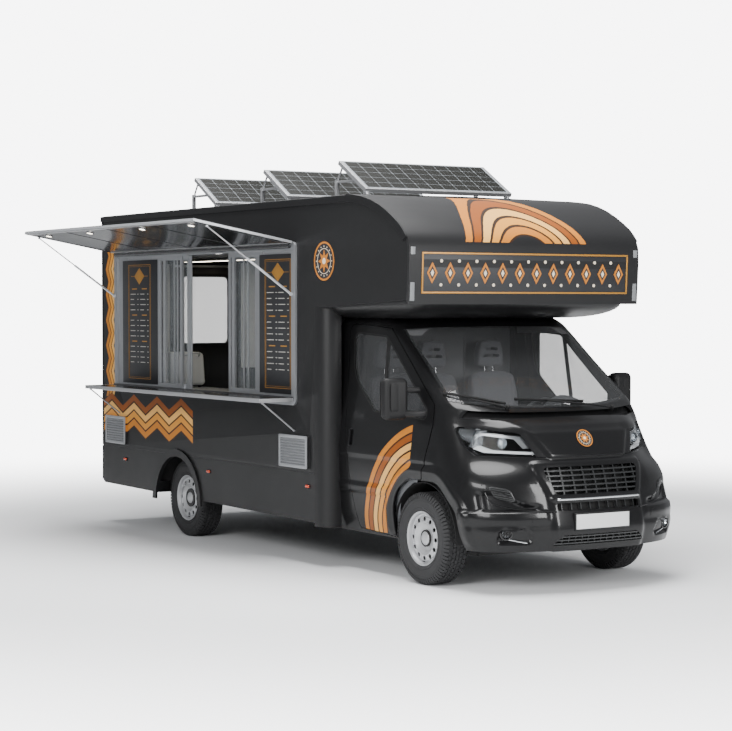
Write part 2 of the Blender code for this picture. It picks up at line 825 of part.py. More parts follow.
def cab_shell_mesh():
    left_opening = door_opening()
    shell = carve(
        cab_thick.copy(),
        block((cab_rear - overrun, -side_far, 0), (cab_rear, side_far, box_top)),
        across(grown(nose_cut, gap)),
        across(screen_outline),
        *both_sides(arch_front),
        left_opening,
        mirrored(left_opening),
    )
    roof_half = [(cab_rear + sink, roof_rear_half), *roof_bends, (roof_front_x, 0)]
    roof = panel("XY", [roof_half + both_ways(roof_half[:-1])], cab_roof_low, cab_roof_high)
    inner = arch_inner - house_lap
    floor_half = [
        (cab_rear + sink, floor_rear_half),
        (floor_step_x, floor_rear_half),
        (floor_step_x, floor_step_half),
        (floor_arch_x, floor_step_half),
        (floor_arch_x, inner),
        (firewall_x - house_lap, inner),
    ]
    floor = panel(
        "XY", [floor_half + both_ways(floor_half)], cab_floor_bottom, cab_floor_bottom + cab_floor
    )
    firewall = block(
        (firewall_x - firewall_thick, -firewall_half, firewall_low), (firewall_x, firewall_half, firewall_high)
    )
    toe_board = block(
        (firewall_x - firewall_thick + sink, -arch_inner + toe_lap, cab_floor_bottom + toe_lap),
        (firewall_x - sink, arch_inner - toe_lap, toe_top),
    )
    bracket = block(
        (firewall_x - house_lap, bonnet_arm_y - bonnet_pin_half, bonnet_hinge.z - bracket_half_high),
        (bonnet_hinge.x - bonnet_pin - gap, bonnet_arm_y + bonnet_pin_half, bonnet_hinge.z + bracket_half_high),
    )
    house = carve(
        fuse(
            block(
                (house_rear, arch_inner - house_wall, cab_floor_bottom + house_foot),
                (house_front, house_outer, house_top),
            ),
            block(
                (house_wing_x, house_outer - house_wing_lap, house_top - house_wing_thick - sink),
                (house_front - sink, house_wing_outer, house_top - sink),
            ),
        ),
        block((house_rear + house_wall, arch_inner, 0), (front_far, side_far, house_top - house_wall)),
    )
    return fuse(
        shell, roof, floor, firewall, toe_board, house, mirrored(house), bracket, mirrored(bracket)
    )


add("cab_shell", cab_shell_mesh(), black_gloss)
add("windscreen", meet(glass_thick.copy(), across(grown(screen_outline, -gap))), tinted_glass)

# Bonnet, hinged under the windscreen
bonnet_skin = 0.02
bonnet = meet(thickened(cab_skin, bonnet_skin), across(grown(bonnet_outline, -seam)))
bonnet_arm = fuse(
    block(
        (bonnet_hinge.x, bonnet_arm_y - bonnet_arm_half, bonnet_hinge.z + bonnet_arm_low),
        (bonnet_arm_end, bonnet_arm_y + bonnet_arm_half, bonnet_hinge.z + bonnet_arm_high),
    ),
    cylinder(
        (bonnet_hinge.x, bonnet_arm_y - bonnet_pin_half, bonnet_hinge.z),
        (bonnet_hinge.x, bonnet_arm_y + bonnet_pin_half, bonnet_hinge.z),
        bonnet_pin,
        12,
    ),
)
bonnet = fuse(bonnet, bonnet_arm, mirrored(bonnet_arm))
bonnet_axis = pivot("axis_bonnet", bonnet_hinge)
add("bonnet", bonnet, black_gloss, bonnet_axis)

# Bumper, grille, lamps and plate
grille_low_half, grille_top_half, grille_low, grille_top, grille_round = 0.39, 0.475, 0.762, 0.972, 0.03
grille_opening = rounded(
    [
        (-grille_low_half, grille_low, grille_round),
        (grille_low_half, grille_low, grille_round),
        (grille_top_half, grille_top, grille_round),
        (-grille_top_half, grille_top, grille_round),
    ]
)
lower_low, lower_high, lower_round = (-0.40, 0.642), (0.40, 0.698), 0.01
lower_opening = oblong(lower_low, lower_high, lower_round, 2)
intake_low_half, intake_top_half, intake_low, intake_top = 0.46, 0.36, 0.374, 0.452
intake_low_round, intake_top_round = 0.01, 0.02
intake_opening = rounded(
    [
        (-intake_low_half, intake_low, intake_low_round),
        (intake_low_half, intake_low, intake_low_round),
        (intake_top_half, intake_top, intake_top_round),
        (-intake_top_half, intake_top, intake_top_round),
    ],
    2,
)
fascia = carve(
    meet(cab_thick.copy(), across(bumper_outline)),
    *both_sides(arch_front),
    *[panel("YZ", [outline], front_near, front_far) for outline in (grille_opening, lower_opening, intake_opening)],
)
add("front_bumper", fascia, black_gloss)

grille_thick, grille_inset = 0.02, 0.012
bar_count, rib_count, bar_half = 5, 6, 0.007
cells_low, cells_high, cells_half, cell_lift = 0.782, 0.945, 0.40, 0.002
grille_sheet = thickened(cab_skin, grille_thick, grille_inset)
grille_face = meet(grille_sheet, panel("YZ", [grown(grille_opening, -gap)], front_near, front_far))
slots = []
cell_high = (cells_high - cells_low) / bar_count
cell_wide = cells_half * 2 / rib_count
for row in range(bar_count):
    for column in range(rib_count):
        low_y = -cells_half + column * cell_wide
        low_z = cells_low + cell_lift + row * cell_high
        slots.append(
            block(
                (front_near, low_y + bar_half, low_z + bar_half),
                (front_far, low_y + cell_wide - bar_half, low_z + cell_high),
            )
        )
add("grille", carve(grille_face, *slots), black_plastic)

lamp_deep, lamp_inner_y = 0.06, 0.46
lamp = meet(thickened(cab_skin, lamp_deep), panel("XZ", [lamp_outline], lamp_inner_y, side_far))
for name, side in (("right", -1), ("left", 1)):
    add("headlight_" + name, mirrored(lamp) if side < 0 else lamp.copy(), lamp_clear)

# Cab inside
dash_front, dash_back = firewall_x - firewall_thick - gap, -0.28
dash_low, dash_high, dash_brow_x, dash_brow_z, dash_lip = 0.95, 1.34, 0.02, 1.36, 1.27
dash_knee_x, dash_knee_z, dash_half = -0.18, 1.0, 0.86
dash_bend, dash_soft = 0.03, 0.05
dash_outline = rounded(
    [
        (dash_front, dash_low, 0),
        (dash_front, dash_high, 0),
        (dash_brow_x, dash_brow_z, dash_bend),
        (dash_back, dash_lip, dash_soft),
        (dash_knee_x, dash_knee_z, dash_bend),
    ]
)
column_top = Vector((-0.36, 0.44, 1.24))
column_foot = Vector((0.05, 0.44, 1.05))
column_radius = 0.03
dashboard = fuse(
    panel("XZ", [dash_outline], -dash_half, dash_half), tube([column_foot, column_top], column_radius)
)
add("dashboard", dashboard, trim_grey)

steering_wheel_radius = 0.20
rim_thick_radius = 0.014
hub_low, hub_high, hub_cap_radius = -0.025, 0.02, 0.07
spoke_half, spoke_low, spoke_high, spoke_step = 0.02, -0.01, 0.006, 0.002
wheel_tilt = (column_top - column_foot).normalized()


def steering_wheel_mesh():
    rim = turned(
        [
            (steering_wheel_radius + rim_thick_radius * math.cos(angle), rim_thick_radius * math.sin(angle))
            for angle in (-math.tau * step / 6 for step in range(6))
        ],
        closed=True,
        steps=20,
    )
    rim.transform(Matrix.Rotation(math.pi / 2, 4, "X"))
    hub = cylinder((0, 0, hub_low), (0, 0, hub_high), hub_cap_radius, 12)
    spokes = [
        block((-steering_wheel_radius, -spoke_half, spoke_low), (steering_wheel_radius, spoke_half, spoke_high)),
        block(
            (-spoke_half, -steering_wheel_radius, spoke_low - spoke_step),
            (spoke_half, 0, spoke_high - spoke_step),
        ),
    ]
    return fuse(rim, hub, *spokes)


steering_wheel = steering_wheel_mesh()
lean = Vector((0, 0, 1)).rotation_difference(wheel_tilt).to_matrix().to_4x4()
wheel_place = column_top + wheel_tilt * (gap - hub_low)
steering_wheel.transform(Matrix.Translation(wheel_place) @ lean)
add("steering_wheel", steering_wheel, black_plastic, pivot("axis_steering_wheel", wheel_place))


plinth_rear, plinth_front, plinth_top, plinth_inset = -1.02, -0.56, 0.80, 0.05
headrest_low, headrest_high, headrest_half, headrest_top_half = 1.60, 1.83, 0.12, 0.09
headrest_rear, headrest_front, headrest_round = -1.19, -1.10, 0.045
stalk_rear, stalk_front, stalk_half, stalk_low, stalk_high = -1.15, -1.13, 0.05, 1.54, 1.64
cushion_corners = [
    # x, z, corner radius
    (-1.04, 0.78, 0.03), (-0.50, 0.80, 0.04), (-0.48, 0.94, 0.05), (-1.02, 0.90, 0.03),
]
backrest_corners = [
    # x, z, corner radius
    (-1.04, 0.86, 0.03), (-0.92, 0.86, 0.03), (-1.07, 1.58, 0.04), (-1.18, 1.58, 0.04),
]
backrest_inset = 0.01
driver_low, driver_high = 0.22, 0.72
bench_low, bench_high, bench_heads = -0.82, 0.10, (-0.58, -0.14)


def seat_mesh(low_y, high_y, heads):
    """A seat on its plinth: cushion, backrest and headrests joined."""
    cab_floor_top = cab_floor_bottom + cab_floor + gap
    plinth = block(
        (plinth_rear, low_y + plinth_inset, cab_floor_top), (plinth_front, high_y - plinth_inset, plinth_top)
    )
    cushion = panel("XZ", [rounded(cushion_corners)], low_y, high_y)
    back = panel("XZ", [rounded(backrest_corners)], low_y + backrest_inset, high_y - backrest_inset)
    rests = []
    for middle in heads:
        outline = rounded(
            [
                (middle - headrest_half, headrest_low, headrest_round),
                (middle + headrest_half, headrest_low, headrest_round),
                (middle + headrest_top_half, headrest_high, headrest_round),
                (middle - headrest_top_half, headrest_high, headrest_round),
            ]
        )
        rests.append(panel("YZ", [outline], headrest_rear, headrest_front))
        rests.append(
            block((stalk_rear, middle - stalk_half, stalk_low), (stalk_front, middle + stalk_half, stalk_high))
        )
    return fuse(plinth, cushion, back, *rests)


add("driver_seat", seat_mesh(driver_low, driver_high, ((driver_low + driver_high) / 2,)), seat_cloth)
add("passenger_bench", seat_mesh(bench_low, bench_high, bench_heads), seat_cloth)

# Kitchen body
alcove_floor_back, alcove_floor_front = 2.205, 2.247
nose_x, nose_low, nose_foot_set = 0.055, 2.235, 0.015
nose_roof_x, nose_inside_x, nose_inside_z, alcove_inside_x, alcove_inside_z = -0.90, -0.90, 2.6, -0.4, 2.3
# the nose seen from the side, from its foot to the roof
nose_curve = [
    (nose_x - nose_foot_set, nose_low),
    (nose_x, 2.45),
    (nose_x + 0.005, 2.70),
    (-0.01, 2.82),
    (-0.14, 2.92),
    (-0.37, 3.04),
    (-0.62, 3.115),
    (nose_roof_x, box_top),
]
nose_points = [tuple(point) for point in smooth_through(nose_curve, 2)]


def inside_nose(depth):
    """The nose's line, moved inwards by depth."""
    closing = [(nose_inside_x, nose_inside_z), (alcove_inside_x, alcove_inside_z)]
    return list(grown(nose_points + closing, -depth))[: len(nose_points)]


inner_nose = inside_nose(wall)
roof_thick = 0.045
roof_bottom = box_top - roof_thick
side_top = roof_bottom - gap
side_rear = box_rear + wall + gap
side_outline = (
    [(side_rear, box_bottom), (box_front, box_bottom), (box_front, alcove_floor_back)]
    + [(x - gap, z) for x, z in inner_nose if z < side_top and z > alcove_floor_front]
    + [(inner_nose[-1][0], side_top), (side_rear, side_top)]
)
hatch_rear_inset, hatch_front_inset, hatch_rise, hatch_drop = 0.333, 0.332, 0.569, 0.371
hatch_low = (box_rear + hatch_rear_inset, box_bottom + hatch_rise)
hatch_high = (box_front - hatch_front_inset, box_top - hatch_drop)
hatch_bar, hatch_lap, hatch_round, hatch_inner_round = 0.07, 0.03, 0.05, 0.012
wall_cut = oblong(
    (hatch_low[0] + hatch_lap, hatch_low[1] + hatch_lap),
    (hatch_high[0] - hatch_lap, hatch_high[1] - hatch_lap),
    hatch_round,
)
window_width, window_height, window_rise, window_rear_inset, window_round = 0.90, 0.68, 0.825, 1.733, 0.04
window_low = (box_rear + window_rear_inset, box_bottom + window_rise)
window_high = (window_low[0] + window_width, window_low[1] + window_height)
far_window = oblong(window_low, window_high, window_round)
pane_inner_share, pane_outer_share = 0.7, 0.3
vent_round, vent_proud, vent_height = 0.012, 0.022, 0.281
rear_vent_inset, rear_vent_width, front_vent_inset, front_vent_width, vent_rise = 0.127, 0.461, 0.608, 0.480, 0.033
right_side = panel("XZ", [side_outline, wall_cut], -box_half, -box_half + wall)
vents = []
for vent_x, vent_width in (
    (box_rear + rear_vent_inset, rear_vent_width),
    (box_front - front_vent_inset, front_vent_width),
):
    vent_low = (vent_x, box_bottom + vent_rise)
    vent_high = (vent_x + vent_width, box_bottom + vent_rise + vent_height)
    vents.append(
        panel("XZ", [oblong(vent_low, vent_high, vent_round, 2)], -box_half - vent_proud, -box_half + sink)
    )
add("box_side_right", fuse(right_side, *vents), charcoal)
add("box_side_left", panel("XZ", [side_outline, far_window], box_half - wall, box_half), charcoal)
add(
    "far_window",
    panel(
        "XZ",
        [grown(far_window, -gap)],
        box_half - wall * pane_inner_share,
        box_half - wall * pane_outer_share,
    ),
    tinted_glass,
)

# Roof with its edge mouldings
edge_proud, edge_deep, edge_start_z = 0.012, 0.064, 2.72
edge_core = edge_proud - sink
roof_crown, roof_edge_drop, roof_shoulder, edge_top_drop, edge_flat = 0.012, 0.010, 0.05, 0.014, 0.005
roof_x0, roof_x1 = box_rear - edge_proud, nose_points[-1][0] - gap
roof_section = [
    (-box_half - edge_core, roof_bottom),
    (box_half + edge_core, roof_bottom),
    (box_half + edge_core, box_top - roof_edge_drop),
    (box_half - roof_shoulder, box_top),
    (0, box_top + roof_crown),
    (-box_half + roof_shoulder, box_top),
    (-box_half - edge_core, box_top - roof_edge_drop),
]
roof_slab = panel("YZ", [roof_section], roof_x0 + sink, roof_x1)
edge_outer = [(x, z) for x, z in nose_points if z > edge_start_z]
edge_inner = inside_nose(edge_deep)[-len(edge_outer):]
edge_outline = (
    [(roof_x0, box_top - edge_deep), (roof_x0, box_top - edge_top_drop)]
    + [(x, z - edge_top_drop if z > box_top - edge_flat else z) for x, z in reversed(edge_outer)]
    + edge_inner
)
edge = panel("XZ", [edge_outline], box_half + gap, box_half + edge_proud)
add("box_roof", fuse(roof_slab, edge, mirrored(edge)), charcoal)

# Alcove over the cab: curved nose, its floor, and the wall round the cab's opening
floor_thick = 0.04
floor_top = box_bottom + floor_thick
sheet_set, sheet_drop, front_wall_lap = 0.02, 0.006, 0.01
pass_half, pass_rise, pass_top, pass_round = 0.78, 0.10, 2.02, 0.06
inside_half = box_half - wall - gap
nose_sheet = panel("XZ", [nose_points + list(reversed(inner_nose))], -box_half, box_half)
alcove_floor_outline = [
    (box_front - wall, alcove_floor_back),
    (nose_x - sheet_set, alcove_floor_front - sheet_drop),
    (nose_x - sheet_set, alcove_floor_front + wall),
    (box_front - wall, alcove_floor_back + wall),
]
alcove_floor = panel("XZ", [alcove_floor_outline], -inside_half, inside_half)
front_wall = panel(
    "YZ",
    [
        [
            (-inside_half, floor_top + gap),
            (inside_half, floor_top + gap),
            (inside_half, alcove_floor_back + front_wall_lap),
            (-inside_half, alcove_floor_back + front_wall_lap),
        ],
        oblong((-pass_half, box_bottom + pass_rise), (pass_half, pass_top), pass_round),
    ],
    box_front - wall,
    box_front,
)
add("alcove_pod", fuse(nose_sheet, alcove_floor, front_wall), charcoal)

# Floor, rear wall and rear door
add(
    "box_floor",
    block((side_rear, -inside_half, box_bottom), (box_front - gap, inside_half, floor_top)),
    laminate,
)
rear_door_half, rear_door_bottom, rear_door_top = 0.38, 0.90, 2.78
rear_door_round, rear_door_proud = 0.05, 0.008
rear_hinge_set, rear_hinge_radius, rear_hinge_length = 0.012, 0.011, 0.09
rear_leaf_half, rear_leaf_reach, rear_hinge_heights = 0.004, 0.06, (1.15, 1.80, 2.45)
door_low, door_high = (-rear_door_half, rear_door_bottom), (rear_door_half, rear_door_top)
rear_wall_outline = [
    (-box_half, box_bottom),
    (box_half, box_bottom),
    (box_half, side_top),
    (-box_half, side_top),
]
add(
    "rear_wall",
    panel("YZ", [rear_wall_outline, oblong(door_low, door_high, rear_door_round)], box_rear, box_rear + wall),
    charcoal,
)
rear_door_hinge = Vector((box_rear - rear_hinge_set, rear_door_half + rear_hinge_set, rear_hinge_heights[1]))
rear_hinges, rear_leaves = [], []
for height in rear_hinge_heights:
    foot = Vector((rear_door_hinge.x, rear_door_hinge.y, height))
    rise = Vector((0, 0, rear_hinge_length))
    rear_hinges.append(cylinder(foot, foot + rise, rear_hinge_radius, 12))
    rear_leaves.append(
        block(
            foot - Vector((rear_leaf_half, rear_leaf_reach, 0)),
            foot + Vector((rear_leaf_half + sink, 0, 0)) + rise,
        )
    )
rear_door_outline = oblong(
    (door_low[0] + seam, door_low[1] + seam), (door_high[0] - seam, door_high[1] - seam), rear_door_round - seam
)
rear_door = panel("YZ", [rear_door_outline], box_rear - rear_door_proud, box_rear + wall)
add(
    "rear_door",
    fuse(rear_door, *rear_hinges, *rear_leaves),
    charcoal,
    pivot("axis_rear_door", rear_door_hinge),
)

# Skirts and rear bumper
arch_rear_x, arch_rear_radius, arch_rear_z = -3.985, 0.440, 0.34
arch_steps = 14
arch_lip_wide, arch_lap, arch_lip_proud, arch_lip_core = 0.07, 0.02, 0.018, 0.01
skirt_wall, skirt_foot_rise, skirt_low_rise, skirt_low_inset, skirt_front_drop = 0.022, 0.06, 0.03, 0.05, 0.005
skirt_foot_round, skirt_low_round = 0.05, 0.03
sill_rear_inset, sill_front_inset, sill_deep, sill_rise, sill_high = 0.10, 0.02, 0.12, 0.05, 0.08
cutter_deep, cutter_proud, lip_seat = 0.2, 0.05, 0.004


def rear_arc(radius, back=False):
    """Half a circle round the rear arch's centre, from front to rear or back again."""
    steps = range(arch_steps, -1, -1) if back else range(arch_steps + 1)
    angles = [math.pi * step / arch_steps for step in steps]
    return [(arch_rear_x + radius * math.cos(a), arch_rear_z + radius * math.sin(a)) for a in angles]


arch_rear = [
    (arch_rear_x + arch_rear_radius, 0),
    *rear_arc(arch_rear_radius),
    (arch_rear_x - arch_rear_radius, 0),
]
skirt_outline = rounded(
    [
        (box_rear, box_bottom - gap, 0),
        (box_rear, sill_bottom + skirt_foot_rise, skirt_foot_round),
        (box_rear + skirt_low_inset, sill_bottom + skirt_low_rise, skirt_low_round),
        (box_front - gap, sill_bottom - skirt_front_drop, 0),
        (box_front - gap, box_bottom - gap, 0),
    ]
)
skirt = panel("XZ", [skirt_outline], box_half - skirt_wall, box_half)
sill_box = block(
    (box_rear + sill_rear_inset, box_half - sill_deep, sill_bottom + sill_rise),
    (box_front - sill_front_inset, box_half - sink, sill_bottom + sill_rise + sill_high),
)
arch_cutter = panel("XZ", [arch_rear], box_half - cutter_deep, box_half + cutter_proud)
arch_band = [rear_arc(arch_rear_radius - arch_lap) + rear_arc(arch_rear_radius + arch_lip_wide, back=True)]
arch_ring = fuse(
    panel("XZ", arch_band, box_half + gap, box_half + arch_lip_proud),
    meet(
        panel("XZ", arch_band, box_half - sink, box_half + arch_lip_core),
        block(
            (box_rear, box_half - cutter_deep, 0), (box_front, box_half + cutter_deep, box_bottom - lip_seat)
        ),
    ),
)
skirt = carve(fuse(skirt, sill_box, arch_ring), arch_cutter)
for name, side in (("right", -1), ("left", 1)):
    add("skirt_" + name, mirrored(skirt) if side < 0 else skirt.copy(), charcoal)

rear_bumper_deep, rear_bumper_round, rear_bumper_drop = 0.052, 0.05, 0.01
bracket_half, bracket_low, bracket_high, bracket_lap = 0.55, 0.68, 0.76, 0.01
bumper_back = box_rear - rear_bumper_deep
rear_bumper_outline = rounded(
    [
        (box_rear - gap, -box_half, 0),
        (bumper_back, -box_half, rear_bumper_round),
        (bumper_back, box_half, rear_bumper_round),
        (box_rear - gap, box_half, 0),
    ]
)
rear_bumper = fuse(
    panel("XY", [rear_bumper_outline], sill_bottom + skirt_foot_rise, box_bottom - rear_bumper_drop),
    block((box_rear - bracket_lap, -bracket_half, bracket_low), (rail_rear - gap, bracket_half, bracket_high)),
)
add("rear_bumper", rear_bumper, charcoal)

# Serving hatch: frame with its boards and sliding sashes
frame_proud, sleeve_deep, sash_deep, sash_set = 0.02, 0.065, 0.051, 0.004
frame_face = -box_half - frame_proud
frame_outer = oblong(hatch_low, hatch_high, hatch_round)
frame_inner = oblong(
    (hatch_low[0] + hatch_bar, hatch_low[1] + hatch_bar),
    (hatch_high[0] - hatch_bar, hatch_high[1] - hatch_bar),
    hatch_inner_round,
)
sleeve_outer = grown(wall_cut, -gap)
sash_front = -box_half + sash_set
sash_back = sash_front + sash_deep
flange = panel("XZ", [frame_outer, frame_inner], frame_face, -box_half - gap)
sleeve = panel("XZ", [sleeve_outer, frame_inner], frame_face + sink, -box_half + sleeve_deep)
inner_x0, inner_x1 = hatch_low[0] + hatch_bar - sink, hatch_high[0] - hatch_bar + sink
inner_z0, inner_z1 = hatch_low[1] + hatch_bar - sink, hatch_high[1] - hatch_bar + sink
# widths from each end of the frame's inside towards the middle
jamb_width, rear_board_width, rear_post_width = 0.189, 0.569, 0.130
front_board_width, front_post_width = 0.533, 0.073
board_set_front, board_set_back = 0.008, 0.010
rear_board_x = inner_x0 + jamb_width + sink
rear_post_x = rear_board_x + rear_board_width
rear_sash_x = rear_post_x + rear_post_width
front_board_x = inner_x1 - front_board_width - sink * 2
front_post_x = front_board_x - front_post_width
board_front, board_back = sash_front + board_set_front, sash_back - board_set_back
hatch_posts = [
    # x start, x end, depth start, depth end
    (inner_x0, rear_board_x, sash_front, sash_back),
    (rear_board_x - sink, rear_post_x, board_front, board_back),
    (rear_post_x - sink, rear_sash_x, sash_front, sash_back),
    (front_post_x, front_board_x + sink, sash_front, sash_back),
    (front_board_x, inner_x1, board_front, board_back),
]
posts = [
    block((x0, y0, inner_z0), (x1, y1, inner_z1)) for x0, x1, y0, y1 in hatch_posts
]
sash_bar, sash_thick, sash_round, sash_width = 0.045, 0.024, 0.01, 0.512
rear_inner_start, rear_inner_end, front_inner_start, front_inner_end = 0.062, 0.620, 0.072, 0.621
sash_middle = sash_front + sash_thick
sashes = [
    # x start, x end, depth start, depth end
    (rear_sash_x - sink, rear_sash_x + sash_width, sash_front, sash_middle),
    (rear_sash_x + rear_inner_start, rear_sash_x + rear_inner_end, sash_middle - sink, sash_back),
    (front_post_x - sash_width, front_post_x + sink, sash_front, sash_middle),
    (front_post_x - front_inner_end, front_post_x - front_inner_start, sash_middle - sink, sash_back),
]


def sash_mesh(x0, x1, y0, y1):
    """One sliding sash: a frame round its open pane."""
    outside = [(x0, inner_z0), (x1, inner_z0), (x1, inner_z1), (x0, inner_z1)]
    pane = oblong((x0 + sash_bar, inner_z0 + sash_bar), (x1 - sash_bar, inner_z1 - sash_bar), sash_round, 2)
    return panel("XZ", [outside, pane], y0, y1)


sash_frames = [sash_mesh(*sash) for sash in sashes]
add("hatch_frame", fuse(flange, sleeve, *posts, *sash_frames), aluminium)

# Awning flap with its hinge barrel and strut brackets
hinge_barrel = 0.015
awning_drop, flap_rear_inset, flap_front_inset = 0.413, 0.348, 0.352
flap_hinge = Vector((0, frame_face - hinge_barrel - gap, box_top - awning_drop))
flap_x0, flap_x1 = box_rear + flap_rear_inset, box_front - flap_front_inset
flap_depth = 0.975
flap_thickness = 0.03
flap_slope = math.radians(10.3)
flap_lift = 0.022
flap_back, flap_web, barrel_inset = 0.008, 0.012, 0.05
strut_reach = 0.83
strut_drop = 0.41
strut_rear_inset, strut_front_inset = 0.373, 0.377
strut_places = (("rear", box_rear + strut_rear_inset), ("front", box_front - strut_front_inset))
strut_radius, rod_radius, eye_radius, head_radius = 0.0105, 0.006, hinge_barrel, 0.0095
eye_half, strut_inset, bore_start, bore_overrun = 0.009, 0.004, 0.03, 0.01


def flap_matrix():
    """From flap space, where the flap lies flat and outwards is -Y, to its open place."""
    return Matrix.Translation(flap_hinge) @ Matrix.Rotation(-flap_slope, 4, "X")


awning = fuse(
    block((flap_x0, -flap_depth, flap_lift), (flap_x1, -flap_back, flap_lift + flap_thickness)),
    block(
        (flap_x0 + barrel_inset, -flap_back - flap_web, 0),
        (flap_x1 - barrel_inset, -flap_back + sink, flap_lift + flap_back),
    ),
    cylinder((flap_x0 + barrel_inset, 0, 0), (flap_x1 - barrel_inset, 0, 0), hinge_barrel, 14),
)
awning.transform(flap_matrix())
awning_axis = pivot("axis_awning", flap_hinge)
add("awning_flap", awning, charcoal, awning_axis)

strut_foot = Vector((0, flap_hinge.y, flap_hinge.z - strut_drop))
strut_head = flap_matrix() @ Vector((0, -strut_reach, flap_lift - head_radius - gap))
strut_line = strut_head - strut_foot
strut_length = strut_line.length
strut_way = strut_line.normalized()
tube_length = 0.53
rod_inside = 0.045
for name, x in strut_places:
    foot = strut_foot + Vector((x, 0, 0))
    head = strut_head + Vector((x, 0, 0))
    mouth = foot + strut_way * tube_length
    eye = Vector((eye_half, 0, 0))
    body = fuse(
        cylinder(foot + strut_way * strut_inset, mouth, strut_radius, 14),
        cylinder(foot - eye, foot + eye, eye_radius, 14),
    )
    bore = cylinder(foot + strut_way * bore_start, mouth + strut_way * bore_overrun, rod_radius + gap, 14)
    rod_start = mouth - strut_way * rod_inside
    rod = fuse(
        cylinder(rod_start, head - strut_way * strut_inset, rod_radius, 14),
        cylinder(head - eye, head + eye, head_radius, 14),
    )
    axis = pivot("axis_strut_" + name, foot)
    add("awning_strut_tube_" + name, carve(body, bore), cast_grey, axis)
    add("awning_strut_rod_" + name, rod, steel, axis)

# Serving counter with its two stays
counter_rise, counter_rear_inset, counter_front_inset = 0.63, 0.363, 0.36
counter_hinge = Vector((0, frame_face - hinge_barrel - gap, box_bottom + counter_rise))
counter_depth = 0.32
counter_thickness = 0.03
counter_top = 0.001
counter_x0, counter_x1 = box_rear + counter_rear_inset, box_front - counter_front_inset
counter = fuse(
    block((counter_x0, -counter_depth, counter_top - counter_thickness), (counter_x1, -sink, counter_top)),
    cylinder((counter_x0, 0, 0), (counter_x1, 0, 0), hinge_barrel, 14),
)
counter.transform(Matrix.Translation(counter_hinge))
add("counter_flap", counter, aluminium, pivot("axis_counter", counter_hinge))
stay_radius, stay_rod_share, stay_eye_half, stay_head_inset = 0.008, 0.9, 0.012, 0.035
stay_foot_rise, stay_rear_inset, stay_front_inset = 0.35, 0.413, 0.375
stay_foot = Vector((0, -box_half - stay_radius - gap, box_bottom + stay_foot_rise))
stay_head = Vector(
    (
        0,
        counter_hinge.y - counter_depth + stay_head_inset,
        counter_hinge.z + counter_top - counter_thickness - stay_radius - gap,
    )
)
stay_eye = Vector((stay_eye_half, 0, 0))
for name, x in (("rear", box_rear + stay_rear_inset), ("front", box_front - stay_front_inset)):
    foot = stay_foot + Vector((x, 0, 0))
    head = stay_head + Vector((x, 0, 0))
    stay = fuse(
        cylinder(foot, head, stay_radius * stay_rod_share, 10),
        cylinder(foot - stay_eye, foot + stay_eye, stay_radius, 12),
        cylinder(head - stay_eye, head + stay_eye, stay_radius, 12),
    )
    add("counter_stay_" + name, stay, aluminium, pivot("axis_stay_" + name, head))

# Kitchen inside
unit_deep, unit_high, unit_top, unit_lip, unit_end_lip = 0.60, 0.86, 0.90, 0.02, 0.01
unit_rear_inset, unit_front_inset = 0.383, 0.64
unit_x0, unit_x1 = box_rear + unit_rear_inset, box_front - unit_front_inset
unit_front = inside_half - unit_deep
add(
    "kitchen_units",
    fuse(
        block((unit_x0, unit_front, floor_top + gap), (unit_x1, inside_half, floor_top + unit_high)),
        block(
            (unit_x0, unit_front - unit_lip, floor_top + unit_high - sink),
            (unit_x1 + unit_end_lip, inside_half, floor_top + unit_top),
        ),
    ),
    steel,
)

# Solar panels on tilted stands
solar_half, solar_slope_length, solar_thick = 0.77, 0.51, 0.035
solar_tilt = math.radians(31)
solar_lift, solar_first, solar_second, solar_third = 0.03, 0.305, 1.634, 3.023
stand_inset, post_rear, post_front, post_half, post_rise = 0.03, 0.075, 0.045, 0.015, 0.13
bar_back, bar_reach, bar_low, bar_high, stand_bar_half = 0.06, 0.26, 0.10, 0.122, 0.010
brace_radius, brace_back, brace_low, brace_reach, brace_high = 0.009, 0.058, 0.11, 0.035, 0.245
base_back, base_reach, base_half, base_deep, base_high = 0.085, 0.02, 0.020, 0.012, 0.016
lug_back, lug_reach, lug_half, lug_rise = 0.05, 0.005, 0.012, 0.02
cut_deep, cut_back, cut_reach = 0.1, 1.0, 1.5
roof_surface = box_top + roof_crown


def solar_stand(top_x, foot_x, low_z, y):
    """One side's base rail, post, bar and brace, and the lug at the panel's foot."""
    return [
        block((top_x - post_rear, y - post_half, roof_surface), (top_x - post_front, y + post_half, low_z + post_rise)),
        block(
            (top_x - bar_back, y - stand_bar_half, low_z + bar_low),
            (top_x + bar_reach, y + stand_bar_half, low_z + bar_high),
        ),
        tube(
            [
                Vector((top_x - brace_back, y, low_z + brace_low)),
                Vector((top_x + brace_reach, y, low_z + brace_high)),
            ],
            brace_radius,
        ),
        block(
            (top_x - base_back, y - base_half, roof_surface - base_deep),
            (foot_x + base_reach, y + base_half, roof_surface + base_high),
        ),
        block(
            (foot_x - lug_back, y - lug_half, roof_surface), (foot_x + lug_reach, y + lug_half, low_z + lug_rise)
        ),
    ]


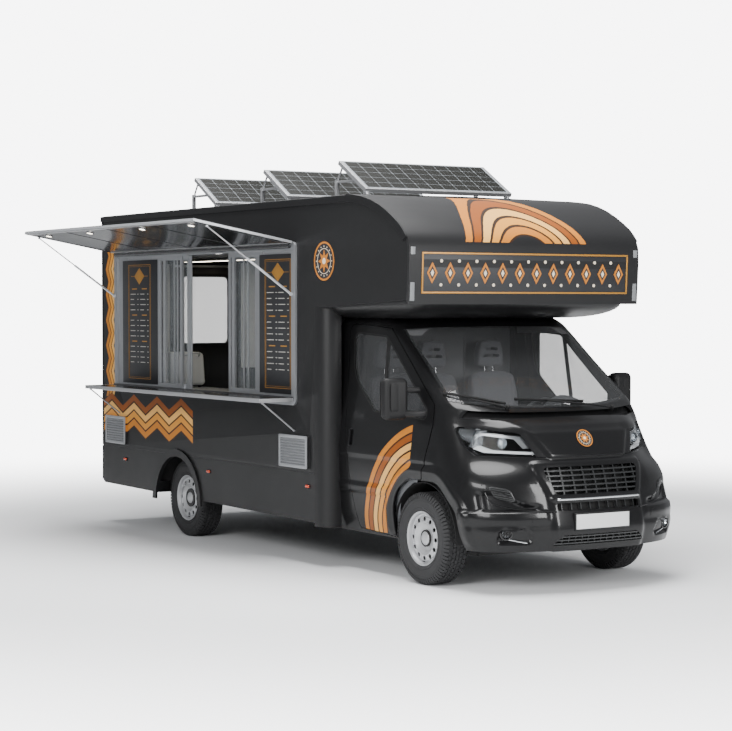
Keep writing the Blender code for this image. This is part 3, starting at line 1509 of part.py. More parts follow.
for index, inset in enumerate((solar_first, solar_second, solar_third), 1):
    top_x = box_front - inset
    low_z = roof_surface + solar_lift
    foot_x = top_x + solar_slope_length * math.cos(solar_tilt)
    slab = block((-solar_slope_length, -solar_half, 0), (0, solar_half, solar_thick))
    slab.transform(Matrix.Translation((foot_x, 0, low_z)) @ Matrix.Rotation(solar_tilt, 4, "Y"))
    stand = []
    for side in (-1, 1):
        stand += solar_stand(top_x, foot_x, low_z, side * (solar_half - stand_inset))
    under_panel = [
        (-box_half, box_top - cut_deep),
        (box_half, box_top - cut_deep),
        (box_half - roof_shoulder, box_top + gap),
        (0, roof_surface + gap),
        (-box_half + roof_shoulder, box_top + gap),
    ]
    roof_above = panel("YZ", [under_panel], top_x - cut_back, top_x + cut_reach)
    add("solar_panel_%d" % index, carve(fuse(slab, *stand), roof_above), aluminium)

# The middle of the truck's box on the ground becomes the origin.
bpy.context.view_layer.update()
corners_seen = []
graph = bpy.context.evaluated_depsgraph_get()
for piece in truck_parts.objects:
    if piece.type == "MESH":
        corners_seen += [piece.matrix_world @ vertex.co for vertex in piece.data.vertices]
low = Vector(tuple(min(corner[axis] for corner in corners_seen) for axis in range(3)))
high = Vector(tuple(max(corner[axis] for corner in corners_seen) for axis in range(3)))
origin.location = (-(low.x + high.x) / 2, -(low.y + high.y) / 2, -low.z)
print("moved by", tuple(round(value, 6) for value in origin.location))
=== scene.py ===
import json
import math

import bmesh
import bpy
import numpy as np
from mathutils import Matrix, Vector
from mathutils.bvhtree import BVHTree

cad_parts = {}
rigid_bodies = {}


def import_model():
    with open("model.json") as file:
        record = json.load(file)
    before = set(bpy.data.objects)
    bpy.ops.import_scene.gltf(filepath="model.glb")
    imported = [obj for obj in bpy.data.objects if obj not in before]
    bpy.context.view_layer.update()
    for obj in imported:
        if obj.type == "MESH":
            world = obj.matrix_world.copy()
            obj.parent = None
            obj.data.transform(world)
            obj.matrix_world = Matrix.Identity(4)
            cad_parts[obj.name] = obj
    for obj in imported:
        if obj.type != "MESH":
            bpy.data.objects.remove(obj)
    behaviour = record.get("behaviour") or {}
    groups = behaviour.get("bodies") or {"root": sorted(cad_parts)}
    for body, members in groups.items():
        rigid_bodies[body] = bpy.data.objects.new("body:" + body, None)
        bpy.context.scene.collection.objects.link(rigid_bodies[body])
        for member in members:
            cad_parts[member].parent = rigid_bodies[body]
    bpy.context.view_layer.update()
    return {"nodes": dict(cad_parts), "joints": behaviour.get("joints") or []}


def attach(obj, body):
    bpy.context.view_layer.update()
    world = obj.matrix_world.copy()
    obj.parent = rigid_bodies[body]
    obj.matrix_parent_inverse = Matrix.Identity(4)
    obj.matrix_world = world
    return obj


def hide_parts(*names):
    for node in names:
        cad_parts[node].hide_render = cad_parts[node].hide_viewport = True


for item in list(bpy.data.objects):
    bpy.data.objects.remove(item, do_unlink=True)
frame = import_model()
print("frame loaded")

axle = {j["name"]: Vector(j["pos_m"]) for j in frame["joints"] if "pos_m" in j}
truck = {"track": 1.81, "half": 1.165, "rear": -5.683}
shift = Vector((axle["front_wheel_left_spin"].x, axle["front_wheel_left_spin"].y - truck["track"] / 2, 0))
workshop = bpy.data.collections.new("workshop")
bpy.context.scene.collection.children.link(workshop)


# colours and materials
def hexColor(text):
    parts = [int(text[i : i + 2], 16) / 255 for i in (1, 3, 5)]
    return (*[c / 12.92 if c <= 0.04045 else ((c + 0.055) / 1.055) ** 2.4 for c in parts], 1.0)


def addNode(tree, kind, links=(), **settings):
    node = tree.nodes.new(kind)
    for key, value in settings.items():
        setattr(node, key, value)
    for socket, source in dict(links).items():
        if isinstance(source, bpy.types.NodeSocket):
            tree.links.new(source, node.inputs[socket])
        else:
            node.inputs[socket].default_value = source
    return node


def newMaterial(name, color, roughness, metallic=0.0, **more):
    made = bpy.data.materials.new(name)
    made.use_nodes = True
    shader = made.node_tree.nodes["Principled BSDF"]
    values = {"Base Color": hexColor(color), "Roughness": roughness, "Metallic": metallic}
    values.update({key.replace("_", " "): value for key, value in more.items()})
    for key, value in values.items():
        shader.inputs[key].default_value = value
    return made


def shaderOf(material):
    return material.node_tree, material.node_tree.nodes["Principled BSDF"]


def truckPlace(tree):
    # object coordinates moved back to the front axle, so that a pattern can be laid out in truck lengths
    links = {0: addNode(tree, "ShaderNodeTexCoord").outputs["Object"], 1: tuple(shift)}
    return addNode(tree, "ShaderNodeVectorMath", links, operation="SUBTRACT").outputs[0]


def noiseOf(tree, place, size, detail=2.0):
    # size is the real width of one blotch
    links = {"Vector": place, "Scale": 1 / size, "Detail": detail}
    return addNode(tree, "ShaderNodeTexNoise", links).outputs["Fac"]


def addBump(material, height, depth, strength=1.0):
    tree, shader = shaderOf(material)
    last = shader.inputs["Normal"].links
    links = {"Height": height, "Distance": depth, "Strength": strength}
    if last:
        links["Normal"] = last[0].from_socket
    bump = addNode(tree, "ShaderNodeBump", links)
    tree.links.new(bump.outputs["Normal"], shader.inputs["Normal"])


def grained(material, size, depth, roughSpread=0.0):
    # surface grain of a real size in metres, with the gloss changing a little over broad areas
    tree, shader = shaderOf(material)
    place = truckPlace(tree)
    addBump(material, noiseOf(tree, place, size), depth)
    if roughSpread:
        base = shader.inputs["Roughness"].default_value
        links = {"To Min": base - roughSpread, "To Max": base + roughSpread}
        broad = addNode(tree, "ShaderNodeMapRange", {"Value": noiseOf(tree, place, 0.35, 4.0), **links})
        tree.links.new(broad.outputs["Result"], shader.inputs["Roughness"])
    return material


def brushed(material, axis, size=0.004, depth=0.00012):
    # drawn or rolled metal: fine lines along one axis
    tree, shader = shaderOf(material)
    stretch = [1.0, 1.0, 1.0]
    stretch[axis] = 0.02
    lines = addNode(tree, "ShaderNodeMapping", {"Vector": truckPlace(tree), "Scale": tuple(stretch)})
    addBump(material, noiseOf(tree, lines.outputs[0], size, 3.0), depth)
    return material


def math2(tree, operation, a, b=0.0):
    return addNode(tree, "ShaderNodeMath", {0: a, 1: b}, operation=operation).outputs[0]


def bands(tree, value, stops):
    # flat colour bands over a value from 0 to 1
    ramp = addNode(tree, "ShaderNodeValToRGB", {"Fac": value})
    ramp.color_ramp.interpolation = "CONSTANT"
    elements = ramp.color_ramp.elements
    while len(elements) > 1:
        elements.remove(elements[-1])
    for index, (at, color) in enumerate(stops):
        element = elements[0] if index == 0 else elements.new(at)
        element.position = at
        element.color = hexColor(color)
    return ramp.outputs["Color"]


def inRange(tree, value, low, high):
    # 1 where value lies between low and high
    above = math2(tree, "GREATER_THAN", value, low)
    return math2(tree, "MULTIPLY", above, math2(tree, "LESS_THAN", value, high))


def mixColor(tree, share, first, second):
    node = addNode(tree, "ShaderNodeMix", data_type="RGBA")
    for socket, source in ((node.inputs[0], share), (node.inputs[6], first), (node.inputs[7], second)):
        if isinstance(source, bpy.types.NodeSocket):
            tree.links.new(source, socket)
        else:
            socket.default_value = source
    return node.outputs[2]


toffee = {"dark": "#2A1A10", "deep": "#84450F", "mid": "#B26D1E", "light": "#C68530", "pale": "#D7A357"}


def stripeStops(count, groundColor):
    # a run of toffee stripes with dark seams between them
    tones = [toffee["mid"], toffee["light"], toffee["pale"], toffee["deep"]]
    stops = [(0.0, groundColor)]
    pitch = 0.9 / count
    for index in range(count):
        start = 0.05 + index * pitch
        stops += [(start, toffee["dark"]), (start + pitch * 0.22, tones[index % len(tones)])]
    return stops + [(0.95, toffee["dark"]), (0.965, groundColor)]


def decorate(material, ground, shapes):
    # shapes: (coordinate function, stripe count, clip box); the last one lies on top
    tree, shader = shaderOf(material)
    split = addNode(tree, "ShaderNodeSeparateXYZ", {0: truckPlace(tree)})
    x, y, z = split.outputs
    color = addNode(tree, "ShaderNodeRGB").outputs[0]
    color.default_value = hexColor(ground)
    for field, count, clip in shapes:
        value = field(tree, x, y, z)
        inside = inRange(tree, value, 0.05, 0.965)
        for axisValue, low, high in zip((x, y, z), clip[0], clip[1]):
            if high - low < 50:
                inside = math2(tree, "MULTIPLY", inside, inRange(tree, axisValue, low, high))
        color = mixColor(tree, inside, color, bands(tree, value, stripeStops(count, ground)))
    tree.links.new(color, shader.inputs["Base Color"])
    return material


def ringField(middle, inner, outer, axes):
    # rings round a point, seen along the axis that is left out
    def field(tree, *place):
        away = addNode(tree, "ShaderNodeCombineXYZ", {axis: place[axis] for axis in axes})
        center = [middle[axes.index(axis)] if axis in axes else 0 for axis in range(3)]
        links = {0: away.outputs[0], 1: tuple(center)}
        reach = addNode(tree, "ShaderNodeVectorMath", links, operation="DISTANCE").outputs["Value"]
        return addNode(tree, "ShaderNodeMapRange", {0: reach, 1: inner, 2: outer}).outputs[0]

    return field


def zigzagField(low, high, pitch, rise, upright=False):
    # zigzag bands that run along x, or upwards if upright
    def field(tree, x, y, z):
        along, over = (z, x) if upright else (x, z)
        wave = addNode(tree, "ShaderNodeMath", {0: along, 1: pitch}, operation="PINGPONG").outputs[0]
        leaning = math2(tree, "SUBTRACT", over, math2(tree, "MULTIPLY", wave, rise / pitch))
        return addNode(tree, "ShaderNodeMapRange", {0: leaning, 1: low, 2: high}).outputs[0]

    return field


# vinyl wrap on glass-fibre panels: matt charcoal with a soft sheen and printed stripes
bodyVinyl = newMaterial("charcoal_vinyl_wrap", "#151516", 0.42, Specular_IOR_Level=0.32)
bodyBands = [
    (zigzagField(-5.62, -5.40, 0.13, 0.07, upright=True), 3, ((-5.66, -99, 1.30), (-5.35, -1.0, 2.95))),
    (zigzagField(0.875, 1.235, 0.26, 0.12), 4, ((-5.66, -99, 0.80), (-3.66, -1.0, 1.36))),
]
bodyWrap = decorate(grained(bodyVinyl, 0.02, 0.00006, 0.05), "#151516", bodyBands)
noseVinyl = newMaterial("charcoal_nose_wrap", "#171718", 0.38, Specular_IOR_Level=0.42)
noseSun = (ringField((0.0, 2.55), 0.22, 0.66, (1, 2)), 5, ((-0.75, -99, 2.735), (0.2, 99, 3.2)))
noseWrap = decorate(grained(noseVinyl, 0.02, 0.00006, 0.05), "#171718", [noseSun])
# moulded glass fibre, gel coated: charcoal, a little glossier than the wrap
gelCoat = grained(
    newMaterial("charcoal_gel_coat", "#121213", 0.34, Specular_IOR_Level=0.32), 0.03, 0.0001, 0.05
)


def lacquered(name):
    # two-pack car paint: black under a clear lacquer with faint orange peel
    made = newMaterial(name, "#101011", 0.30, Coat_Weight=0.24, Coat_Roughness=0.07, Specular_IOR_Level=0.18)
    return grained(made, 0.012, 0.00002)


cabPaint = lacquered("black_car_paint")
doorArch = (ringField((0.09, 0.335), 0.60, 0.98, (0, 2)), 5, ((-1.30, -99, 0.36), (-0.14, -0.5, 1.5)))
doorPaint = decorate(lacquered("black_door_paint"), "#101011", [doorArch])
# moulded polypropylene with a fine leather grain
blackPlastic = grained(
    newMaterial("grained_black_plastic", "#101011", 0.55, Specular_IOR_Level=0.3), 0.0035, 0.00025
)
glossPlastic = newMaterial("gloss_black_plastic", "#0C0C0D", 0.12)
# anodised aluminium sections, satin
aluminium = brushed(newMaterial("satin_anodised_aluminium", "#B9BABC", 0.36, 0.85), 0)
# silver lacquered steel
wheelSilver = grained(newMaterial("silver_wheel_lacquer", "#B4B5B7", 0.38, 0.55), 0.01, 0.00005)
# carbon black rubber, dull, with a dusty bloom
tyreRubber = grained(
    newMaterial("tyre_rubber", "#2E2E2F", 0.78, Specular_IOR_Level=0.35), 0.006, 0.0002, 0.06
)
# glass with a grey tint, darker in the doors
cabGlass = newMaterial("tinted_laminated_glass", "#3C3D3E", 0.03, IOR=1.6, Alpha=0.30)
sideGlass = newMaterial("tinted_toughened_glass", "#343536", 0.03, IOR=1.6, Alpha=0.55)
hatchGlass = newMaterial("clear_float_glass", "#9AA0A3", 0.02, IOR=1.6, Alpha=0.14)
lampLens = newMaterial("clear_polycarbonate_lens", "#1C1D1E", 0.02, IOR=1.5, Alpha=0.07)
# vacuum-metallised reflector
lampChrome = newMaterial("metallised_reflector", "#B4B8BC", 0.14, 1.0)
chrome = newMaterial("bright_chrome", "#D8DADC", 0.10, 1.0)
ledLight = newMaterial(
    "led_diffuser", "#FFFFFF", 0.4, Emission_Color=hexColor("#FFF4DC"), Emission_Strength=9.0
)
amberLens = newMaterial("amber_acrylic", "#C8411B", 0.18, Coat_Weight=0.5)
redLens = newMaterial("red_acrylic", "#8E1210", 0.15, Coat_Weight=0.6)
whiteLaminate = newMaterial("white_laminate", "#E4E5E3", 0.35)
darkLaminate = grained(newMaterial("charcoal_laminate", "#4B4C4E", 0.5), 0.004, 0.0001)
stainless = brushed(newMaterial("brushed_stainless_steel", "#9B9C9D", 0.34, 0.9), 0)
castIron = grained(newMaterial("sand_cast_iron", "#2E2D2C", 0.6, 0.6), 0.006, 0.0004)
chassisBlack = grained(newMaterial("chassis_black_enamel", "#161617", 0.5), 0.01, 0.0001)
boardBlack = newMaterial("matt_printed_board", "#1C1D20", 0.5)
goldInk = newMaterial("gold_ink", "#A9772C", 0.4, 0.2)
paleInk = newMaterial("pale_ink", "#B8B6B0", 0.5)
plateWhite = newMaterial("blank_number_plate", "#D3D4D3", 0.35)
trimPlastic = grained(newMaterial("grey_dash_plastic", "#5E6063", 0.6), 0.004, 0.0003)
rubberSeal = newMaterial("rubber_seal", "#0B0B0B", 0.6)
mirrorGlass = newMaterial("mirror_glass", "#C9CDD0", 0.02, 1.0)


# making meshes
def linked(mesh):
    holder = bpy.data.objects.new("bench", mesh)
    workshop.objects.link(holder)
    return holder


def released(work, name):
    made = bpy.data.meshes.new(name)
    work.to_mesh(made)
    work.free()
    return made


def cleaned(mesh, closeness=1e-5, turnOut=False):
    work = bmesh.new()
    work.from_mesh(mesh)
    bmesh.ops.remove_doubles(work, verts=work.verts, dist=closeness)
    if turnOut:
        bmesh.ops.recalc_face_normals(work, faces=work.faces)
    work.to_mesh(mesh)
    work.free()
    return mesh


def settled(holder, turnOut=True):
    # the holder's mesh with its modifiers worked in
    made = bpy.data.meshes.new_from_object(holder.evaluated_get(bpy.context.evaluated_depsgraph_get()))
    bpy.data.objects.remove(holder, do_unlink=True)
    return cleaned(made, turnOut=turnOut)


def modified(mesh, kind, turnOut=True, **settings):
    holder = linked(mesh)
    step = holder.modifiers.new("step", kind)
    for key, value in settings.items():
        setattr(step, key, value)
    return settled(holder, turnOut)


def shaped(operation, mesh, *others):
    # Boolean of mesh with each other mesh in turn
    for other in others:
        cutter = linked(other)
        mesh = modified(mesh, "BOOLEAN", operation=operation, object=cutter)
        bpy.data.objects.remove(cutter, do_unlink=True)
    return mesh


def carved(mesh, *others):
    return shaped("DIFFERENCE", mesh, *others)


def bevelled(mesh, width, segments=2, angle=30):
    shape = {"width": width, "segments": segments, "angle_limit": math.radians(angle)}
    return modified(mesh, "BEVEL", turnOut=False, limit_method="ANGLE", use_clamp_overlap=True, **shape)


def joined(*meshes):
    work = bmesh.new()
    for mesh in meshes:
        work.from_mesh(mesh)
    return released(work, "joined")


def moved(mesh, matrix):
    copy = mesh.copy()
    copy.transform(matrix)
    if matrix.determinant() < 0:
        copy.flip_normals()
    return copy


def mirrored(mesh):
    return moved(mesh, Matrix.Scale(-1, 4, (0, 1, 0)))


def placed(mesh, place, turn=(0, 0, 0)):
    aboutX, aboutY, aboutZ = (Matrix.Rotation(angle, 4, axis) for angle, axis in zip(turn, "XYZ"))
    spin = aboutZ @ aboutY @ aboutX
    return moved(mesh, Matrix.Translation(place) @ spin)


def boxMesh(low, high, bevel=0.0, segments=2):
    low, high = Vector(low), Vector(high)
    work = bmesh.new()
    bmesh.ops.create_cube(work, size=1.0)
    scale = Matrix.Diagonal((*(high - low), 1.0))
    bmesh.ops.transform(work, matrix=Matrix.Translation((low + high) / 2) @ scale, verts=work.verts)
    made = released(work, "box")
    return bevelled(made, bevel, segments) if bevel else made


def barMesh(start, end, radius, sides=16, endRadius=None, bevel=0.0):
    start, end = Vector(start), Vector(end)
    work = bmesh.new()
    bmesh.ops.create_cone(
        work, cap_ends=True, segments=sides, radius1=radius,
        radius2=radius if endRadius is None else endRadius, depth=(end - start).length
    )
    turn = Vector((0, 0, 1)).rotation_difference(end - start).to_matrix().to_4x4()
    bmesh.ops.transform(work, matrix=Matrix.Translation((start + end) / 2) @ turn, verts=work.verts)
    made = released(work, "bar")
    return bevelled(made, bevel, 2, 40) if bevel else made


def tubeMesh(points, radius, closed=False, smooth=True, sides=2):
    curve = bpy.data.curves.new("tube", "CURVE")
    curve.dimensions = "3D"
    curve.bevel_depth = radius
    curve.bevel_resolution = sides
    curve.use_fill_caps = not closed
    line = curve.splines.new("NURBS" if smooth else "POLY")
    line.points.add(len(points) - 1)
    for point, place in zip(line.points, points):
        point.co = (*place, 1)
    line.use_cyclic_u = closed
    if smooth:
        line.order_u = 3
        line.use_endpoint_u = not closed
        line.resolution_u = 4
    return settled(linked(curve))


planes = {
    "XY": Matrix.Identity(4),
    "XZ": Matrix(((1, 0, 0, 0), (0, 0, -1, 0), (0, 1, 0, 0), (0, 0, 0, 1))),
    "YZ": Matrix(((0, 0, 1, 0), (1, 0, 0, 0), (0, 1, 0, 0), (0, 0, 0, 1))),
}


def plateMesh(plane, outlines, start, end, bevel=0.0, segments=1):
    # the first outline filled, less the others, from start to end along the plane's normal
    curve = bpy.data.curves.new("outline", "CURVE")
    curve.dimensions = "2D"
    curve.fill_mode = "BOTH"
    curve.extrude = abs(end - start) / 2 - bevel
    curve.offset = -bevel
    curve.bevel_depth = bevel
    curve.bevel_resolution = segments
    for outline in outlines:
        line = curve.splines.new("POLY")
        line.points.add(len(outline) - 1)
        for point, (u, v) in zip(line.points, outline):
            point.co = (u, v, 0, 1)
        line.use_cyclic_u = True
    made = settled(linked(curve))
    normal = {"XY": (0, 0, 1), "XZ": (0, 1, 0), "YZ": (1, 0, 0)}[plane]
    made.transform(Matrix.Translation(Vector(normal) * (start + end) / 2) @ planes[plane])
    return cleaned(made, turnOut=True)


def rounded(corners, steps=6):
    # an outline whose corners (u, v, radius) are rounded
    points = []
    for index, (u, v, radius) in enumerate(corners):
        here = Vector((u, v))
        before = (Vector(corners[index - 1][:2]) - here).normalized()
        after = (Vector(corners[(index + 1) % len(corners)][:2]) - here).normalized()
        if not radius:
            points.append((u, v))
            continue
        half = before.angle(after) / 2
        center = here + (before + after).normalized() * radius / math.sin(half)
        first = here + before * radius / math.tan(half) - center
        turn = first.angle_signed(here + after * radius / math.tan(half) - center)
        for step in range(steps + 1):
            points.append(tuple(center + Matrix.Rotation(-turn * step / steps, 2) @ first))
    return points


def oblong(low, high, radius, steps=6):
    (u0, v0), (u1, v1) = low, high
    return rounded([(u0, v0, radius), (u1, v0, radius), (u1, v1, radius), (u0, v1, radius)], steps)


def circle(center, radius, steps=32):
    turns = [math.tau * i / steps for i in range(steps)]
    return [(center[0] + radius * math.cos(turn), center[1] + radius * math.sin(turn)) for turn in turns]


def grown(outline, distance):
    area = sum(a[0] * b[1] - b[0] * a[1] for a, b in zip(outline, outline[1:] + outline[:1]))
    points = []
    for index, point in enumerate(outline):
        here = Vector(point)
        into = (here - Vector(outline[index - 1])).normalized()
        out = (Vector(outline[(index + 1) % len(outline)]) - here).normalized()
        side = Vector((into.y, -into.x))
        normal = (side + Vector((out.y, -out.x))).normalized()
        points.append(tuple(here + normal * math.copysign(distance, area) / max(0.3, normal.dot(side))))
    return points


def turnedMesh(profile, closed, steps=48):
    # a profile of (radius, along) turned about the y axis
    data = bpy.data.meshes.new("profile")
    edges = [(i, i + 1) for i in range(len(profile) - 1)] + ([(len(profile) - 1, 0)] if closed else [])
    data.from_pydata([(radius, 0, along) for radius, along in profile], edges, [])
    turning = {"axis": "Z", "steps": steps, "render_steps": steps}
    made = modified(data, "SCREW", use_merge_vertices=True, merge_threshold=2e-5, **turning)
    made.transform(Matrix.Rotation(-math.pi / 2, 4, "X"))
    return made


def curvedThrough(points, steps):
    # rows of numpy points on a smooth curve through the given ones; steps for each span
    points = np.asarray(points, float)
    if isinstance(steps, int):
        steps = [steps] * (len(points) - 1)
    padded = np.concatenate([[points[0] * 2 - points[1]], points, [points[-1] * 2 - points[-2]]])
    found = []
    for index, count in enumerate(steps):
        p0, p1, p2, p3 = padded[index : index + 4]
        for step in range(count):
            t = step / count
            found.append(
                p1
                + (p2 - p0) * (t / 2)
                + (p0 * 2 - p1 * 5 + p2 * 4 - p3) * (t**2 / 2)
                + (p1 * 3 - p0 - p2 * 3 + p3) * (t**3 / 2)
            )
    return np.array(found + [points[-1]])


def rectangle(u0, v0, u1, v1):
    return [(u0, v0), (u1, v0), (u1, v1), (u0, v1)]


def gridFaces(rows, columns):
    corners = [r * columns + c for r in range(rows - 1) for c in range(columns - 1)]
    return [(a, a + columns, a + columns + 1, a + 1) for a in corners]


def gridMesh(grid):
    # an open surface through rows of points; it faces the way rows cross columns
    grid = np.asarray(grid, float)
    made = bpy.data.meshes.new("grid")
    made.from_pydata([tuple(p) for p in grid.reshape(-1, 3)], [], gridFaces(*grid.shape[:2]))
    return made


def thickened(grid, thickness):
    return modified(gridMesh(grid), "SOLIDIFY", thickness=thickness, offset=0)


def buildRepeatTree():
    # copies in a row or round an axis, made real at the end
    tree = bpy.data.node_groups.new("repeat_copies", "GeometryNodeTree")
    tree.is_modifier = True
    kinds = {
        "Geometry": "Geometry", "Count": "Int", "Step": "Vector", "Turn": "Vector", "Material": "Material"
    }
    for name, kind in kinds.items():
        tree.interface.new_socket(name, in_out="INPUT", socket_type="NodeSocket" + kind)
    tree.interface.new_socket("Geometry", in_out="OUTPUT", socket_type="NodeSocketGeometry")
    given = addNode(tree, "NodeGroupInput").outputs
    line = addNode(
        tree, "GeometryNodeMeshLine", {"Count": given["Count"], "Offset": given["Step"]}, mode="OFFSET"
    )
    copies = addNode(
        tree, "GeometryNodeInstanceOnPoints", {"Points": line.outputs[0], "Instance": given["Geometry"]}
    )
    index = addNode(tree, "GeometryNodeInputIndex").outputs[0]
    angle = addNode(tree, "ShaderNodeVectorMath", {0: given["Turn"], "Scale": index}, operation="SCALE")
    turned = addNode(
        tree, "GeometryNodeRotateInstances", {"Instances": copies.outputs[0], "Rotation": angle.outputs[0]}
    )
    real = addNode(tree, "GeometryNodeRealizeInstances", {0: turned.outputs[0]})
    painted = addNode(
        tree, "GeometryNodeSetMaterial", {"Geometry": real.outputs[0], "Material": given["Material"]}
    )
    addNode(tree, "NodeGroupOutput", {0: painted.outputs[0]})
    return tree


repeatTree = buildRepeatTree()


def repeated(mesh, count, step=(0, 0, 0), turn=(0, 0, 0), material=None):
    holder = linked(mesh)
    repeat = holder.modifiers.new("repeat", "NODES")
    repeat.node_group = repeatTree
    values = {"Count": count, "Step": step, "Turn": turn, "Material": material}
    for socket in repeatTree.interface.items_tree:
        if socket.in_out == "INPUT" and values.get(socket.name) is not None:
            repeat[socket.identifier] = values[socket.name]
    return settled(holder, turnOut=False)


finishedCount = []


def finishPiece(name, parts, body="truck", slot=None, replaces=(), sharp=32):
    # joins (mesh, material) pairs into one piece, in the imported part's frame
    work = bmesh.new()
    materials = []
    for mesh, material in parts:
        if material not in materials:
            materials.append(material)
        first = len(work.faces)
        work.from_mesh(mesh)
        work.faces.ensure_lookup_table()
        for face in work.faces[first:]:
            face.material_index = materials.index(material)
    made = released(work, name)
    for material in materials:
        made.materials.append(material)
    made.transform(Matrix.Translation(shift))
    made.shade_smooth()
    made.set_sharp_from_angle(angle=math.radians(sharp))
    piece = bpy.data.objects.new(name, made)
    bpy.context.scene.collection.objects.link(piece)
    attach(piece, body)
    if replaces:
        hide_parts(*([replaces] if isinstance(replaces, str) else replaces))
    finishedCount.append((name, len(made.polygons)))
    return piece


def cadCopy(node, bevel=0.0, segments=2, angle=25):
    # a CAD node's mesh in truck lengths, its flat faces merged and its edges eased
    copy = frame["nodes"][node].data.copy()
    copy.materials.clear()
    copy.transform(Matrix.Translation(-shift))
    work = bmesh.new()
    work.from_mesh(copy)
    bmesh.ops.remove_doubles(work, verts=work.verts, dist=2e-5)
    bmesh.ops.dissolve_limit(
        work, angle_limit=math.radians(0.6), verts=work.verts, edges=work.edges, delimit={"NORMAL"}
    )
    work.to_mesh(copy)
    work.free()
    return bevelled(copy, bevel, segments, angle) if bevel else copy


def movedParts(parts, place):
    return [(moved(mesh, place), material) for mesh, material in parts]


doorBodies = ("cab_door_left", "cab_door_right")


def forBothSides(name, parts, bodies=("truck", "truck"), replaces=None, drawn="left", **more):
    # a piece and its mirror image; replaces is how the replaced nodes' names start
    for side, body in zip(("left", "right"), bodies):
        turned = parts if side == drawn else [(mirrored(mesh), material) for mesh, material in parts]
        finishPiece(name + "_" + side, turned, body, replaces=replaces and replaces + side, **more)


def useCad(material, *nodes):
    for node in nodes:
        holder = frame["nodes"][node]
        holder.data.materials.clear()
        holder.data.materials.append(material)


# cab: one smooth skin, cut into panels along their seams
cab = {
    "rear": -1.3597, "skin": 0.02, "seam": 0.005,
    "sideFar": 1.5, "frontFar": 1.3, "sideStart": 0.30, "lampInner": 0.46,
}
# height, then (x, y) at the rear, door, wheel arch, wing, corner, nose and middle
cabRows = [
    (0.330, (0.97, -0.55, 0.10), 0.975, (0.60, 0.965), (0.83, 0.78), (0.945, 0.45), (0.975, 0)),
    (0.480, (1.00, -0.55, 0.10), 1.000, (0.62, 0.998), (0.86, 0.80), (0.985, 0.45), (1.010, 0)),
    (0.640, (1.01, -0.55, 0.10), 1.012, (0.58, 1.002), (0.82, 0.80), (0.955, 0.45), (0.985, 0)),
    (0.850, (1.02, -0.55, 0.10), 1.020, (0.52, 0.990), (0.74, 0.80), (0.895, 0.45), (0.930, 0)),
    (1.050, (1.02, -0.55, 0.10), 1.012, (0.42, 0.960), (0.56, 0.80), (0.805, 0.45), (0.850, 0)),
    (1.240, (1.005, -0.55, 0.09), 0.995, (0.32, 0.945), (0.47, 0.80), (0.690, 0.53), (0.745, 0)),
    (1.310, (0.995, -0.55, 0.08), 0.985, (0.30, 0.935), (0.43, 0.79), (0.610, 0.52), (0.665, 0)),
    (1.385, (0.985, -0.55, 0.06), 0.972, (0.26, 0.925), (0.37, 0.80), (0.465, 0.50), (0.495, 0)),
    (1.480, (0.975, -0.60, -0.02), 0.960, (0.16, 0.925), (0.255, 0.82), (0.335, 0.48), (0.365, 0)),
    (1.760, (0.950, -0.75, -0.36), 0.925, (-0.20, 0.890), (-0.105, 0.78), (-0.02, 0.46), (0.010, 0)),
    (2.040, (0.925, -0.92, -0.70), 0.895, (-0.555, 0.855), (-0.455, 0.76), (-0.375, 0.45), (-0.345, 0)),
    (2.130, (0.870, -0.98, -0.80), 0.845, (-0.68, 0.800), (-0.60, 0.70), (-0.54, 0.42), (-0.515, 0)),
]
archCorners = [(-0.405, 0.20, 0), (-0.405, 0.70, 0.26), (-0.16, 0.835, 0.20)]
archCorners += [(0.24, 0.835, 0.22), (0.50, 0.62, 0.20), (0.60, 0.20, 0)]
arch = rounded(archCorners, 12)
doorCorners = [(-0.955, 0.372, 0.03), (-0.412, 0.345, 0.01), (-0.412, 0.700, 0.262), (-0.165, 0.842, 0.10)]
doorCorners += [(0.020, 0.842, 0.02), (0.125, 1.280, 0.02), (0.105, 1.440, 0.03), (-0.625, 2.040, 0.06)]
doorCorners += [(-1.205, 2.075, 0.06), (-1.160, 1.260, 1.0), (-1.050, 0.680, 0.3)]
doorLine = rounded(doorCorners, 8)
windowCorners = [(-0.740, 1.362, 0.06), (0.035, 1.325, 0.04), (0.020, 1.395, 0.04)]
windowCorners += [(-0.660, 1.965, 0.07), (-1.120, 1.995, 0.06), (-1.085, 1.640, 0.30)]
windowLine = rounded(windowCorners, 8)
screenLine = [(0.205, 1.478), (0.50, 1.395), (0.80, 1.60), (-0.20, 2.20), (-0.35, 2.052), (-0.515, 2.030)]
bonnetCorners = [(0.335, 1.338, 0), (0.335, 1.285, 0.02), (0.690, 1.238, 0.06), (0.800, 1.052, 0.02)]
bonnetLine = rounded(bonnetCorners + [(1.2, 1.03, 0), (1.2, 1.5, 0), (0.53, 1.324, 0)])
lampCorners = [(0.325, 1.277, 0.015), (0.685, 1.230, 0.05), (0.788, 1.054, 0.008)]
lampLine = rounded(lampCorners + [(0.520, 1.066, 0.03), (0.430, 1.130, 0.05)])
bumperLine = [(0.515, 1.058), (0.795, 1.044), (1.2, 1.022), (1.2, 0.3), (0.56, 0.3), (0.515, 0.5)]
noseLine = [
    (0.335, 1.402), lampLine[0], (0.430, 1.130), bumperLine[0], *bumperLine[:2:-1], (1.2, 1.5), (0.53, 1.374)
]


def eased(value, low, high):
    # 0 before low, 1 after high, smooth between them
    t = np.clip((value - low) / (high - low), 0, 1)
    return t * t * (3 - 2 * t)


